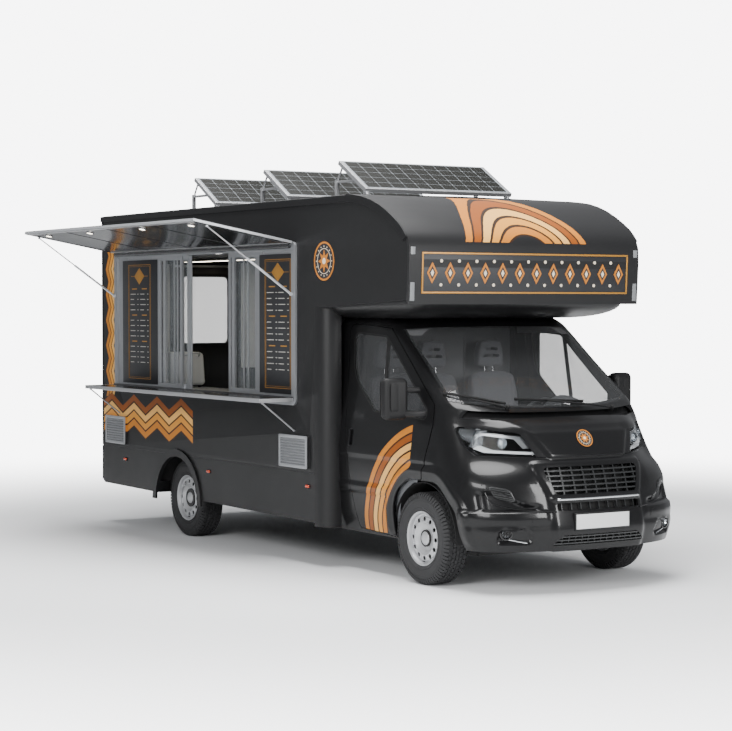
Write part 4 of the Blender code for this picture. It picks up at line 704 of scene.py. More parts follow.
def distanceTo(outline, x, z, closed=True):
    # how far each point lies from an outline; less than 0 inside it
    best = np.full(x.shape, 9.0)
    inside = np.zeros(x.shape, bool)
    ends = outline[1:] + outline[:1] if closed else outline[1:]
    for (ax, az), (bx, bz) in zip(outline, ends):
        dx, dz = bx - ax, bz - az
        t = np.clip(((x - ax) * dx + (z - az) * dz) / max(dx * dx + dz * dz, 1e-9), 0, 1)
        best = np.minimum(best, np.hypot(x - ax - t * dx, z - az - t * dz))
        if closed:
            crosses = ((az > z) != (bz > z)) & (x < (z - az) * dx / (dz if abs(dz) > 1e-9 else 1e-9) + ax)
            inside ^= crosses
    return np.where(inside, -best, best) if closed else best


def cabForm(p):
    # how far the pressed and moulded shapes stand out of the smooth skin
    x, y, z = p[..., 0], np.abs(p[..., 1]), p[..., 2]
    side = eased(y, 0.84, 0.93) * (1 - eased(z, 1.25, 1.4))
    near = distanceTo(arch, x, z)
    lip = 0.020 * (1 - eased(near, 0.085, 0.125)) - 0.012 * (1 - eased(near, 0.0, 0.085))
    out = lip * side * eased(z, 0.33, 0.42)
    door = eased(y, 0.90, 0.95) * (1 - eased(x, 0.10, 0.22))
    out += 0.007 * door * eased(z, 0.965, 0.985) * (1 - eased(z, 1.00, 1.16))
    out += 0.009 * door * (eased(z, 0.665, 0.680) - eased(z, 0.735, 0.750)) * eased(near, 0.10, 0.14)
    # bonnet: a shield in the middle with rolled edges, and a fold that runs back from its upper corners
    half = 0.40 + 0.62 * (z - 1.05)
    shield = (1 - eased(y, half - 0.055, half)) * (1 - eased(z, 1.215, 1.262)) * eased(z, 1.03, 1.045)
    out += 0.016 * shield
    fold = distanceTo([(0.34, 0.74), (0.44, 0.71), (0.70, 0.50)], x, y, closed=False)
    out += 0.007 * (1 - eased(fold, 0.0, 0.055)) * eased(z, 1.20, 1.25) * (1 - eased(z, 1.31, 1.34))
    # bumper: grille surround, cheeks, side pockets, ledge and fog lamp recess
    front = eased(x, 0.50, 0.58) * (1 - eased(z, 1.02, 1.045))
    surround = distanceTo([(0.39, 0.762), (0.475, 0.972), (-0.475, 0.972), (-0.39, 0.762)], y, z)
    out += 0.020 * front * (1 - eased(surround, 0.035, 0.075)) * (1 - eased(z, 0.99, 1.03))
    out += 0.020 * front * (1 - eased(y, 0.41, 0.47)) * (1 - eased(z, 0.72, 0.76)) * eased(z, 0.30, 0.34)
    cheek = eased(y, 0.46, 0.60) * (eased(z, 0.74, 0.86) - eased(z, 0.90, 1.03))
    out += 0.014 * front * cheek
    top = 0.70 + 0.10 * eased(y, 0.60, 0.88)
    pocket = eased(z, 0.645, 0.662) * (1 - eased(z, top - 0.03, top)) * eased(y, 0.50, 0.62)
    pocket *= 1 - eased(y, 0.90, 0.955)
    out -= 0.034 * front * pocket
    ledge = (1 - eased(z, 0.628, 0.648)) * eased(z, 0.52, 0.60) * eased(y, 0.42, 0.50)
    out += 0.018 * front * ledge
    fogLine = rounded([(0.58, 0.395, 0.03), (0.86, 0.395, 0.03), (0.84, 0.50, 0.04), (0.66, 0.515, 0.04)])
    fog = distanceTo(fogLine, y, z)
    out -= 0.030 * front * (1 - eased(fog, -0.012, 0.010))
    return out


def surfaceNormals(grid):
    across, up = np.gradient(grid, axis=1), np.gradient(grid, axis=0)
    normal = np.cross(across, up)
    normal /= np.linalg.norm(normal, axis=-1, keepdims=True)
    # columns run from the cab's rear round to the nose, so left of travel is outside
    return normal * np.sign(normal[grid.shape[0] // 2, 10, 1])


def cabGrid(rowStep=0.0135, columnSteps=(26, 46, 44, 20, 24, 26)):
    rows = []
    for height, (side, doorX, archX), archY, *nose in cabRows:
        half = [(cab["rear"] - 0.01, side), (doorX, (side + archY) / 2), (archX, archY), *nose]
        full = [(x, y, height) for x, y in half] + [(x, -y, height) for x, y in reversed(half[:-1])]
        steps = list(columnSteps) + list(reversed(columnSteps))
        rows.append(curvedThrough(full, steps)[: sum(columnSteps) + 1])
    heights = [row[0] for row in cabRows]
    steps = [max(3, round((b - a) / rowStep)) for a, b in zip(heights, heights[1:])]
    return curvedThrough(rows, steps)


smoothGrid = cabGrid()
smoothNormals = surfaceNormals(smoothGrid)
skinGrid = smoothGrid + smoothNormals * cabForm(smoothGrid)[..., None]
skinGrid[:, -1, 1] = 0
skinNormals = surfaceNormals(skinGrid)
skinNormals[:, -1, 1] = 0


def layer(outer, inner, plain=False, lowest=0.0, highest=3.0, rearmost=-9.0):
    # a closed left half shell between two offsets from the cab's skin, all of it or a part
    grid, normals = (smoothGrid, smoothNormals) if plain else (skinGrid, skinNormals)
    rowSpan = [r for r in range(grid.shape[0]) if lowest <= grid[r, 10, 2] <= highest]
    columnSpan = [c for c in range(grid.shape[1]) if grid[rowSpan, c, 0].max() >= rearmost]
    grid = grid[rowSpan[0] : rowSpan[-1] + 1, columnSpan[0] :]
    normals = normals[rowSpan[0] : rowSpan[-1] + 1, columnSpan[0] :]
    rows, columns = grid.shape[:2]
    count = rows * columns
    faces = []
    for a, b, c, d in gridFaces(rows, columns):
        faces += [(a, d, c, b), (count + b, count + c, count + d, count + a)]
    for c in range(columns - 1):
        top = (rows - 1) * columns + c
        faces += [(c, count + c, count + c + 1, c + 1), (top, top + 1, count + top + 1, count + top)]
    for r in range(rows - 1):
        near, far = r * columns, r * columns + columns - 1
        faces += [
            (near, near + columns, count + near + columns, count + near),
            (far, count + far, count + far + columns, far + columns),
        ]
    made = bpy.data.meshes.new("layer")
    places = np.concatenate([(grid + normals * depth).reshape(-1, 3) for depth in (outer, inner)])
    made.from_pydata([tuple(place) for place in places], [], faces)
    work = bmesh.new()
    work.from_mesh(made)
    bmesh.ops.recalc_face_normals(work, faces=work.faces)
    work.to_mesh(made)
    work.free()
    return made


def across(outline, start=-0.1):
    return plateMesh("XZ", [outline], start, cab["sideFar"])


def fromFront(outline):
    return plateMesh("YZ", [outline], 0.5, cab["frontFar"])


def kept(mesh, cutter):
    return shaped("INTERSECT", mesh, cutter)


def wholeWidth(half):
    # the half and its mirror image, open where they met and joined there
    work = bmesh.new()
    work.from_mesh(half)
    middle = [f for f in work.faces if all(abs(v.co.y) < 2e-4 for v in f.verts)]
    bmesh.ops.delete(work, geom=middle, context="FACES")
    opened = released(work, "opened")
    return cleaned(joined(opened, mirrored(opened)), 2e-4)


skinTree = BVHTree.FromPolygons([tuple(p) for p in skinGrid.reshape(-1, 3)], gridFaces(*skinGrid.shape[:2]))


def onSkin(start, way):
    # where a line from outside meets the left half of the skin, and the way out there
    place, normal, index, reach = skinTree.ray_cast(Vector(start), Vector(way).normalized())
    if normal.dot(Vector(way)) > 0:
        normal = -normal
    return place, normal


def fromNose(y, z, rise=0.0):
    place, normal = onSkin((2, y, z), (-1, 0, 0))
    return place + normal * rise


skinLayer = carved(layer(0, -cab["skin"]), across(arch, cab["sideStart"]))
glassLayer = layer(-0.004, -0.010, plain=True)
grilleCorners = [(-0.39, 0.762, 0.03), (0.39, 0.762, 0.03), (0.475, 0.972, 0.035), (-0.475, 0.972, 0.035)]
grilleLine = rounded(grilleCorners)
lowerLine = oblong((-0.40, 0.642), (0.40, 0.698), 0.012)
intakeLine = rounded([(-0.46, 0.374, 0.01), (0.46, 0.374, 0.01), (0.36, 0.452, 0.02), (-0.36, 0.452, 0.02)])


def doorGap():
    wider = [(x + 0.006 if x > 0 else x, z) for x, z in doorLine]
    return across(grown(wider, cab["seam"]), cab["sideStart"])


behindCab = boxMesh((-2, -1, 0), (cab["rear"], 2, 3))
shell = carved(skinLayer.copy(), behindCab, across(grown(noseLine, 0.0005)), across(screenLine), doorGap())
finishPiece("cab_panels", [(wholeWidth(shell), cabPaint)], slot="black_cab_paint", replaces="cab_shell")
fascia = kept(skinLayer.copy(), across(bumperLine))
fascia = wholeWidth(carved(fascia, *[fromFront(line) for line in (grilleLine, lowerLine, intakeLine)]))
finishPiece("bumper_skin", [(fascia, cabPaint)], slot="black_cab_paint", replaces="front_bumper")
bonnetSkin = wholeWidth(kept(skinLayer.copy(), across(grown(bonnetLine, -cab["seam"]))))
finishPiece("bonnet_skin", [(bonnetSkin, cabPaint)], "bonnet_lid", slot="black_cab_paint", replaces="bonnet")
doorHalf = kept(skinLayer.copy(), across(doorLine, cab["sideStart"]))
doorHalf = carved(doorHalf, across(windowLine, cab["sideStart"]))
forBothSides("door_skin", [(doorHalf, doorPaint)], doorBodies, "door_", slot="black_cab_paint")
windscreen = wholeWidth(kept(glassLayer.copy(), across(grown(screenLine, -0.0003))))
finishPiece("windscreen_glass", [(windscreen, cabGlass)], slot="tinted_glass", replaces="windscreen")
print("cab panels cut")


# the photograph's camera, used to set small trims where the picture shows them
camera = {"place": (13.152, -9.804, 2.226), "azimuth": 57.824, "down": 1.725, "roll": -0.052, "focal": 1992.0}
photo = {"width": 732, "middle": (366.0, 365.5)}


def cameraTurn():
    azimuth, down = math.radians(camera["azimuth"]), math.radians(camera["down"])
    forward = Vector(
        (-math.sin(azimuth) * math.cos(down), math.cos(azimuth) * math.cos(down), -math.sin(down))
    )
    turn = forward.to_track_quat("-Z", "Y").to_matrix()
    return turn @ Matrix.Rotation(math.radians(camera["roll"]), 3, "Z")


def photoRay(px, py):
    across, up = px - photo["middle"][0], photo["middle"][1] - py
    return Vector(camera["place"]), (cameraTurn() @ Vector((across, up, -camera["focal"]))).normalized()


def onPhoto(px, py, rise=0.0):
    # the skin's point that the picture shows at a pixel, on either half of the cab
    start, way = photoRay(px, py)
    flip = Vector((1, -1, 1))
    best = None
    for side in (Vector((1, 1, 1)), flip):
        place, normal, index, reach = skinTree.ray_cast(start * side, way * side)
        if place and (best is None or reach < best[2]):
            if normal.dot(way * side) > 0:
                normal = -normal
            best = (place * side, normal * side, reach)
    return best[0] + best[1] * rise


def nosePart(outlines, outer, inner, lowest=0.30, highest=1.10):
    # what front-view outlines cut out of a layer of the nose
    half = layer(outer, inner, lowest=lowest, highest=highest, rearmost=0.5)
    return wholeWidth(kept(half, plateMesh("YZ", outlines, 0.5, cab["frontFar"])))


def sidePart(outlines, outer, inner, start=0.30, plain=False, lowest=0.0, highest=3.0, rearmost=-9.0):
    # what side-view outlines cut out of a layer of the cab's left half
    half = layer(outer, inner, plain=plain, lowest=lowest, highest=highest, rearmost=rearmost)
    return kept(half, plateMesh("XZ", outlines, start, cab["sideFar"]))


# side windows with rubber seals and the bar between the pane and the fixed quarter light
window = {"seal": 0.014, "bar": (-0.60, 0.020)}
pane = sidePart([grown(windowLine, -0.0003)], -0.004, -0.010, plain=True, lowest=1.28, highest=2.05)
forBothSides("door_glass_pane", [(pane, sideGlass)], doorBodies, "door_glass_", slot="tinted_glass")
sealLines = [grown(windowLine, 0.004), grown(windowLine, -window["seal"])]
sealRing = sidePart(sealLines, 0.0015, -0.014, lowest=1.26, highest=2.06)
barX, barHalf = window["bar"]
barRear, barFront = barX - barHalf, barX + barHalf
barLine = [(barRear, 1.30), (barFront, 1.30), (barFront - 0.03, 1.99), (barRear - 0.03, 1.99)]
windowBar = sidePart([barLine], -0.001, -0.013, lowest=1.28, highest=2.0)
sealParts = [(sealRing, rubberSeal), (windowBar, rubberSeal)]
forBothSides("window_seal", sealParts, doorBodies, slot="black_plastic")

# cowl trough, and the wipers at rest on the glass
cowlLine = [(0.26, 1.30), (0.26, 1.43), (0.53, 1.39), (0.62, 1.27), (0.40, 1.27)]
cowl = wholeWidth(kept(layer(-0.045, -0.050, plain=True, lowest=1.2, highest=1.48), across(cowlLine)))
finishPiece("cowl_trough", [(cowl, blackPlastic)], slot="black_plastic")
# pixel ends of each wiper's blade and arm
wipers = {
    "right": {"blade": ((443, 394), (505, 405)), "arm": ((470, 402), (507, 409.5))},
    "left": {"blade": ((514, 400.5), (582, 402.5)), "arm": ((546, 403), (611, 409))},
}


def pixelLine(ends, steps, rise):
    (ax, ay), (bx, by) = ends
    return [onPhoto(ax + (bx - ax) * t / steps, ay + (by - ay) * t / steps, rise) for t in range(steps + 1)]


for sideName, wiper in wipers.items():
    bladeLine, rubberLine = pixelLine(wiper["blade"], 6, 0.018), pixelLine(wiper["blade"], 6, 0.006)
    armLine = pixelLine(wiper["arm"], 4, 0.028)
    armLine[-1] = onPhoto(*wiper["arm"][1], 0.016)
    foot, cap = armLine[-1] - Vector((0.01, 0, 0.018)), armLine[-1] + Vector((0.012, 0, 0.02))
    hub = barMesh(foot, cap, 0.016, 20, bevel=0.004)
    parts = [(tubeMesh(bladeLine, 0.009), blackPlastic), (tubeMesh(rubberLine, 0.005), rubberSeal)]
    parts += [(tubeMesh(armLine, 0.008), blackPlastic), (hub, blackPlastic)]
    finishPiece("wiper_" + sideName, parts, slot="black_plastic")

# headlamps: a dark bucket under a clear lens, with a ribbed indicator, two reflectors and a light bar
lamp = {"rim": 0.010, "deep": -0.062}
# smoked reflector housing, projector glass and opal light guide
lampBucket = newMaterial("grey_lamp_housing", "#131415", 0.5, Specular_IOR_Level=0.15)
lampSatin = newMaterial("satin_lamp_bezel", "#85888B", 0.3, 0.7)
lampEye = newMaterial("projector_lens_glass", "#B9C3CC", 0.03, 0.2, Coat_Weight=1.0)
lampBar = newMaterial("opal_light_guide", "#C4C8CB", 0.22)


def lampPart(outlines, outer, inner):
    return sidePart(outlines, outer, inner, start=cab["lampInner"], lowest=1.0, highest=1.32, rearmost=0.2)


def buildHeadlamp():
    lens = lampPart([grown(lampLine, -0.002)], 0.0, -0.004)
    bucket = lampPart([grown(lampLine, -0.003)], lamp["deep"] + 0.004, lamp["deep"])
    rim = lampPart([grown(lampLine, -0.003), grown(lampLine, -lamp["rim"])], -0.006, lamp["deep"])
    barLine = [(0.47, 1.108), (0.53, 1.078), (0.77, 1.066), (0.76, 1.085), (0.55, 1.097), (0.48, 1.13)]
    lightBar = lampPart([barLine], -0.020, -0.045)
    ribs = []
    for index in range(7):
        x = 0.352 + index * 0.013
        low = 1.205 - index * 0.008
        ribs.append(rectangle(x, low, x + 0.006, 1.262))
    indicator = lampPart(ribs, -0.022, -0.050)
    divider = lampPart([[(0.452, 1.125), (0.470, 1.118), (0.475, 1.246), (0.455, 1.250)]], -0.012, -0.055)
    hoodLine = [(0.47, 1.232), (0.68, 1.205), (0.735, 1.12), (0.72, 1.11), (0.665, 1.185), (0.47, 1.215)]
    hood = lampPart([hoodLine], -0.014, -0.052)
    parts = [(lens, lampLens), (bucket, lampBucket), (rim, glossPlastic), (lightBar, lampBar)]
    parts += [(indicator, lampChrome), (divider, lampChrome), (hood, lampSatin)]
    # the bowls look forward and a little outwards
    for y, z, radius, eye in ((0.80, 1.165, 0.046, 0.016), (0.66, 1.152, 0.040, 0.026)):
        place, normal = onSkin((2, y, z), (-1, 0, 0))
        bowlLine = [(0.004, 0.040), (radius * 0.45, 0.036), (radius * 0.8, 0.022), (radius, 0.0)]
        bowlLine += [(radius + 0.003, 0.0), (radius * 0.83, 0.027), (radius * 0.45, 0.041), (0.004, 0.045)]
        bowl = turnedMesh(bowlLine, True, 36)
        eyeLine = [(0.0, -eye * 0.2), (eye * 0.6, 0.0), (eye, eye * 0.55), (eye, eye * 0.9), (0.0, eye * 0.9)]
        glassEye = turnedMesh(eyeLine, False, 28)
        # the turned shapes open towards -y, so they turn to look forwards
        facing = Matrix.Rotation(math.radians(96), 4, "Z")
        middle = place - Vector((0.030, 0, 0))
        parts.append((moved(bowl, Matrix.Translation(middle) @ facing), lampChrome))
        parts.append((moved(glassEye, Matrix.Translation(middle - Vector((0.012, 0, 0))) @ facing), lampEye))
    return parts


forBothSides("headlamp", buildHeadlamp(), replaces="headlight_", slot="clear_lamp")
print("glass and headlamps made")

# the openings of the nose: bars in front of ribs (count, half width), a near-black sheet behind that paints
# the shade in their depth, and an edge ring
openings = {
    "grille_bars": {
        "line": grilleLine, "z": (0.772, 0.962), "half": 0.47, "bars": (5, 0.0055), "ribs": (9, 0.0065),
        "depth": 0.032, "ring": (0.010, 0.001, -0.062), "replaces": "grille",
    },
    "lower_grille": {
        "line": lowerLine, "z": (0.642, 0.698), "half": 0.40, "bars": (0, 0), "ribs": (9, 0.004),
        "depth": 0.026, "ring": (0.006, 0.0, -0.026), "replaces": (),
    },
    "bumper_intake": {
        "line": intakeLine, "z": (0.374, 0.452), "half": 0.46, "bars": (3, 0.0045), "ribs": (15, 0.0035),
        "depth": 0.026, "ring": None, "replaces": (),
    },
}
grillePlastic = grained(newMaterial("satin_grille_plastic", "#202122", 0.34), 0.004, 0.0001)
# near-black: the radiator's own colour, and painted shade on the sheets behind the openings and on the side
# pockets' floors
ductAndShadeBlack = newMaterial("black_duct_and_painted_shade", "#050505", 0.8)
for name, opening in openings.items():
    line, (low, high), half, depth = (opening[key] for key in ("line", "z", "half", "depth"))
    mouth = plateMesh("YZ", [grown(line, 0.004)], 0.45, 1.35)
    (bars, barHalf), (ribs, ribHalf) = opening["bars"], opening["ribs"]
    levels = [low + (high - low) * (i + 0.5) / bars for i in range(bars)]
    barLines = [rectangle(-half, z - barHalf, half, z + barHalf) for z in levels]
    ribYs = [half * (2 * (i + 0.5) / ribs - 1) for i in range(ribs)]
    ribLines = [rectangle(y - ribHalf, low - 0.02, y + ribHalf, high + 0.02) for y in ribYs]
    parts = []
    if bars:
        parts.append((kept(nosePart(barLines, -0.004, -depth), mouth.copy()), grillePlastic))
    parts.append((kept(nosePart(ribLines, -0.012, -depth - 0.006), mouth.copy()), grillePlastic))
    # painted shade: a near-black sheet closes the opening behind the ribs
    parts.append((nosePart([grown(line, 0.012)], -depth - 0.022, -depth - 0.028), ductAndShadeBlack))
    if opening["ring"]:
        wide, outer, inner = opening["ring"]
        parts.append((nosePart([grown(line, 0.001), grown(line, -wide)], outer, inner), grillePlastic))
    finishPiece(name, parts, slot="black_plastic", replaces=opening["replaces"])
radiator = boxMesh((0.780, -0.57, 0.37), (0.795, 0.57, 0.985), 0.004)
fin = boxMesh((0.794, -0.49, 0.385), (0.799, 0.49, 0.388))
fins = repeated(fin, 59, step=(0, 0, 0.010), material=ductAndShadeBlack)
finishPiece("radiator_core", [(radiator, ductAndShadeBlack), (fins, ductAndShadeBlack)], slot="black_plastic")
# satin trim strip under the grille
strip = nosePart([[(-0.405, 0.721), (0.405, 0.721), (0.398, 0.735), (-0.398, 0.735)]], 0.004, -0.006)
finishPiece("grille_trim_strip", [(strip, chrome)], slot="brushed_aluminium")

# blank number plate in its holder
plate = {"half": (0.26, 0.0565), "middle": 0.552, "thick": 0.003, "lip": 0.012}
plateX = fromNose(0.0, plate["middle"], 0.004).x
halfWide, halfTall = plate["half"]
lip, low, high = plate["lip"], plate["middle"] - halfTall, plate["middle"] + halfTall
holder = boxMesh(
    (plateX - 0.03, -halfWide - lip, low - lip), (plateX + 0.006, halfWide + lip, high + lip), 0.004
)
finishPiece("front_plate_holder", [(holder, blackPlastic)], slot="black_plastic")
sheet = boxMesh((plateX + 0.006, -halfWide, low), (plateX + 0.006 + plate["thick"], halfWide, high), 0.001)
finishPiece("front_plate", [(sheet, plateWhite)], slot="brushed_aluminium")


# slats in the side pockets, fog lamps and the towing eye's cap
def patchFrom(corners, rise):
    # corner pixels, clockwise from the upper left, as points on the skin
    return [onPhoto(px, py, rise) for px, py in corners]


def lerp(a, b, t):
    return a + (b - a) * t


pocket = {"corners": ((488, 487), (509.5, 490.5), (515.5, 501.5), (496, 498.5)), "slats": 4}
upLeft, upRight, lowRight, lowLeft = patchFrom(pocket["corners"], 0.006)
ringPoints = [upLeft, upRight, lowRight, lowLeft]
pocketSpans = zip(ringPoints, ringPoints[1:] + ringPoints[:1])
pocketFrame = tubeMesh([lerp(a, b, t) for a, b in pocketSpans for t in (0.12, 0.5, 0.88)], 0.005, closed=True)
slatShares = [(i + 0.8) / (pocket["slats"] + 0.6) for i in range(pocket["slats"])]
slatEnds = [[lerp(upLeft, lowLeft, t), lerp(upRight, lowRight, t)] for t in slatShares]
slats = joined(*[tubeMesh(ends, 0.0050, smooth=False) for ends in slatEnds])
# painted shade: a near-black patch on the pocket's floor behind the slats
backCorners = patchFrom(pocket["corners"], 0.0015)
back = thickened([[backCorners[0], backCorners[1]], [backCorners[3], backCorners[2]]], 0.004)
ledgePixels = ((481.5, 484), (486, 499), (497, 506), (515, 509.5), (540, 511.5), (557, 512))
ledge = tubeMesh([onPhoto(px, py, 0.001) for px, py in ledgePixels], 0.006, sides=3)
pocketParts = [(ledge, cabPaint), (pocketFrame, grillePlastic), (slats, grillePlastic), (back, ductAndShadeBlack)]
forBothSides("side_slots", pocketParts, drawn="right", slot="black_plastic")


def buildFogLamp():
    place = onPhoto(506, 533.5, 0.004)
    facing = Matrix.Translation(place) @ Matrix.Rotation(math.radians(75), 4, "Z")
    bezelLine = [(0.036, -0.004), (0.044, -0.012), (0.055, -0.008)]
    bezelLine += [(0.058, 0.02), (0.034, 0.02), (0.034, 0.004)]
    bowlLine = [(0.0, 0.016), (0.020, 0.012), (0.035, -0.002), (0.037, 0.0), (0.022, 0.018), (0.0, 0.020)]
    lensLine = [(0.0, -0.010), (0.020, -0.008), (0.036, -0.002), (0.036, 0.0), (0.0, -0.006)]
    parts = [(turnedMesh(bezelLine, True, 40), glossPlastic), (turnedMesh(bowlLine, False, 36), lampChrome)]
    parts.append((turnedMesh(lensLine, False, 36), lampLens))
    strip = [onPhoto(508, 539.5, 0.004), onPhoto(517, 541.5, 0.006), onPhoto(527, 543.5, 0.004)]
    return movedParts(parts, facing) + [(tubeMesh(strip, 0.006), chrome)]


forBothSides("fog_lamp", buildFogLamp(), drawn="right", slot="clear_lamp")
eyeCap = nosePart([oblong((0.545, 0.548), (0.615, 0.605), 0.008)], 0.0025, -0.004, highest=0.8)
finishPiece("towing_eye_cap", [(eyeCap, cabPaint)], slot="black_cab_paint")
print("nose trims made")

# mirrors: a tall housing on two arms, with the glass facing back
mirror = {"middle": (-0.172, 1.160, 1.480), "half": (0.060, 0.108, 0.168), "foot": (0.00, 0.985, 1.36)}


def buildMirror():
    middle, half = Vector(mirror["middle"]), Vector(mirror["half"])
    housing = boxMesh(middle - half, middle + half, 0.046, 6)
    for vertex in housing.vertices:
        rise = (vertex.co.z - middle.z) / half.z
        outside = (vertex.co.y - middle.y) / half.y
        vertex.co.x -= 0.020 * outside * max(0, vertex.co.x - middle.x) / half.x
        vertex.co.y = middle.y + (vertex.co.y - middle.y) * (1 - 0.06 * rise * rise)
    front, rear = middle + Vector((half.x - 0.003, 0, 0.015)), middle - Vector((half.x - 0.001, 0, 0))
    spans = ((0.066, 0.112, 0.026), (0.082, 0.140, 0.028), (0.090, 0.150, 0.032), (0.083, 0.141, 0.028))
    outlines = [oblong((-wide, -tall), (wide, tall), radius, 8) for wide, tall, radius in spans]
    insetLine, paneLine, rimLine, openLine = outlines
    inset = placed(plateMesh("YZ", [insetLine], 0, 0.004, 0.0015), front)
    glassPane = placed(plateMesh("YZ", [paneLine], -0.003, 0.0, 0.001), rear)
    rim = placed(plateMesh("YZ", [rimLine, openLine], -0.006, 0.0, 0.0015), rear)
    foot = Vector(mirror["foot"])
    arms = []
    for rise, thick in ((0.0, 0.026), (0.190, 0.024)):
        start = foot + Vector((-0.5 * rise, 0.010, rise))
        end = Vector((middle.x + 0.005, middle.y - 0.05, start.z + 0.004))
        bend = lerp(start, end, 0.45) + Vector((0.018, 0, 0))
        line = [start - Vector((0, 0.02, 0)), start, bend, end, end + Vector((0, 0.03, 0))]
        arms.append((tubeMesh(line, thick, sides=4), blackPlastic))
    baseLine = [(-0.085, 1.338, 0.02), (0.062, 1.322, 0.02), (0.055, 1.40, 0.03)]
    baseLine += [(-0.03, 1.50, 0.03), (-0.07, 1.50, 0.03)]
    base = sidePart([rounded(baseLine)], 0.020, -0.004, lowest=1.28, highest=1.56)
    parts = [(housing, blackPlastic), (inset, blackPlastic), (glassPane, mirrorGlass), (rim, blackPlastic)]
    return [*parts, *arms, (base, blackPlastic)]


forBothSides("door_mirror", buildMirror(), doorBodies, "mirror_", slot="black_plastic")

# door handles in oval recesses
handle = {"x": -1.063, "z": 1.122, "half": (0.030, 0.080)}


def buildHandle():
    place, normal = onSkin((handle["x"], 2, handle["z"]), (0, -1, 0))
    halfX, halfZ = handle["half"]
    x, z = handle["x"], handle["z"]
    cupLine = oblong((x - halfX - 0.008, z - halfZ), (x + halfX + 0.008, z + halfZ), 0.035)
    gripLine = oblong((x - 0.014, z - halfZ + 0.012), (x + 0.014, z + halfZ - 0.012), 0.013)
    cup = sidePart([cupLine], 0.0015, -0.004, lowest=0.9, highest=1.35)
    grip = sidePart([gripLine], 0.016, 0.001, lowest=0.9, highest=1.35)
    lock = barMesh(place + Vector((0, 0, -0.062)), place + Vector((0, 0.008, -0.062)), 0.009, 20, bevel=0.001)
    return [(cup, glossPlastic), (bevelled(grip, 0.004, 2, 40), cabPaint), (lock, chrome)]


forBothSides("door_handle", buildHandle(), doorBodies, slot="black_plastic")
print("mirrors and handles made")


# wheels and tyres: drawn for the left side about the wheel's centre, mirrored for the right
wheelPlan = {
    "front_wheel_left": (0.0, 0.905, "front_left"),
    "front_wheel_right": (0.0, -0.905, "front_right"),
    "rear_wheel_left": (-4.0345, 0.935, "rear_left"),
    "rear_wheel_right": (-4.0345, -0.935, "rear_right"),
}
tyre = {
    "radius": 0.370, "half": 0.1115, "ribs": (-0.068, -0.034, 0.0, 0.034, 0.068), "blocks": 56, "shoulder": 72
}
rim = {"holes": 12, "holeRing": 0.157, "hole": 0.0185, "bolts": 5, "boltRing": 0.062}


def aroundWheel(mesh, count, material=None):
    return repeated(mesh, count, turn=(0, math.tau / count, 0), material=material)


def buildTyre():
    top, half = tyre["radius"] - 0.0095, tyre["half"]
    side = [
        (0.2165, 0.086), (0.2200, 0.0945), (0.2290, 0.0985), (0.2400, 0.1045), (0.2430, 0.1075),
        (0.2475, 0.1075), (0.2500, 0.1050), (0.2700, 0.1095), (0.2960, half), (0.2975, half + 0.0012),
        (0.3010, half + 0.0012), (0.3025, half), (0.3200, 0.1080), (0.3350, 0.1010), (0.3465, 0.0905),
        (0.3575, 0.0800)
    ]
    profile = [(r, -a) for r, a in side] + [(top, -0.072), (top, 0.072)] + side[::-1]
    profile += [(0.2165, 0.086), (0.208, 0.080), (0.208, -0.080)]
    carcass = turnedMesh(profile, True, 72)
    pieces = [(carcass, tyreRubber)]
    pitch = math.tau * tyre["radius"] / tyre["blocks"]
    for index, along in enumerate(tyre["ribs"]):
        lean = 0.006 if index % 2 else -0.006
        wide, long = 0.0135, pitch / 2 - (0.0030 if abs(along) < 0.05 else 0.0044)
        block = boxMesh((-long, along - wide, top - 0.002), (long, along + wide, tyre["radius"] - 0.0004))
        for vertex in block.vertices:
            vertex.co.x += lean * (vertex.co.y - along) / wide
        turn = Matrix.Rotation(math.tau / tyre["blocks"] * (index % 2) / 2, 4, "Y")
        pieces.append((moved(aroundWheel(block, tyre["blocks"], tyreRubber), turn), tyreRubber))
    # shoulder lugs run from the tread over the edge
    pitch = math.tau * tyre["radius"] / tyre["shoulder"]
    wide = pitch / 2 - 0.0054
    for side in (-1, 1):
        steps = [(0.0825, 0.3660), (0.0900, 0.3620), (0.0985, 0.3520), (0.1050, 0.3370), (0.1075, 0.3250)]
        lug = thickened([[(x, side * a, r - 0.0006) for x in (-wide, wide)] for a, r in steps], 0.008)
        pieces.append((aroundWheel(lug, tyre["shoulder"], tyreRubber), tyreRubber))
    return pieces


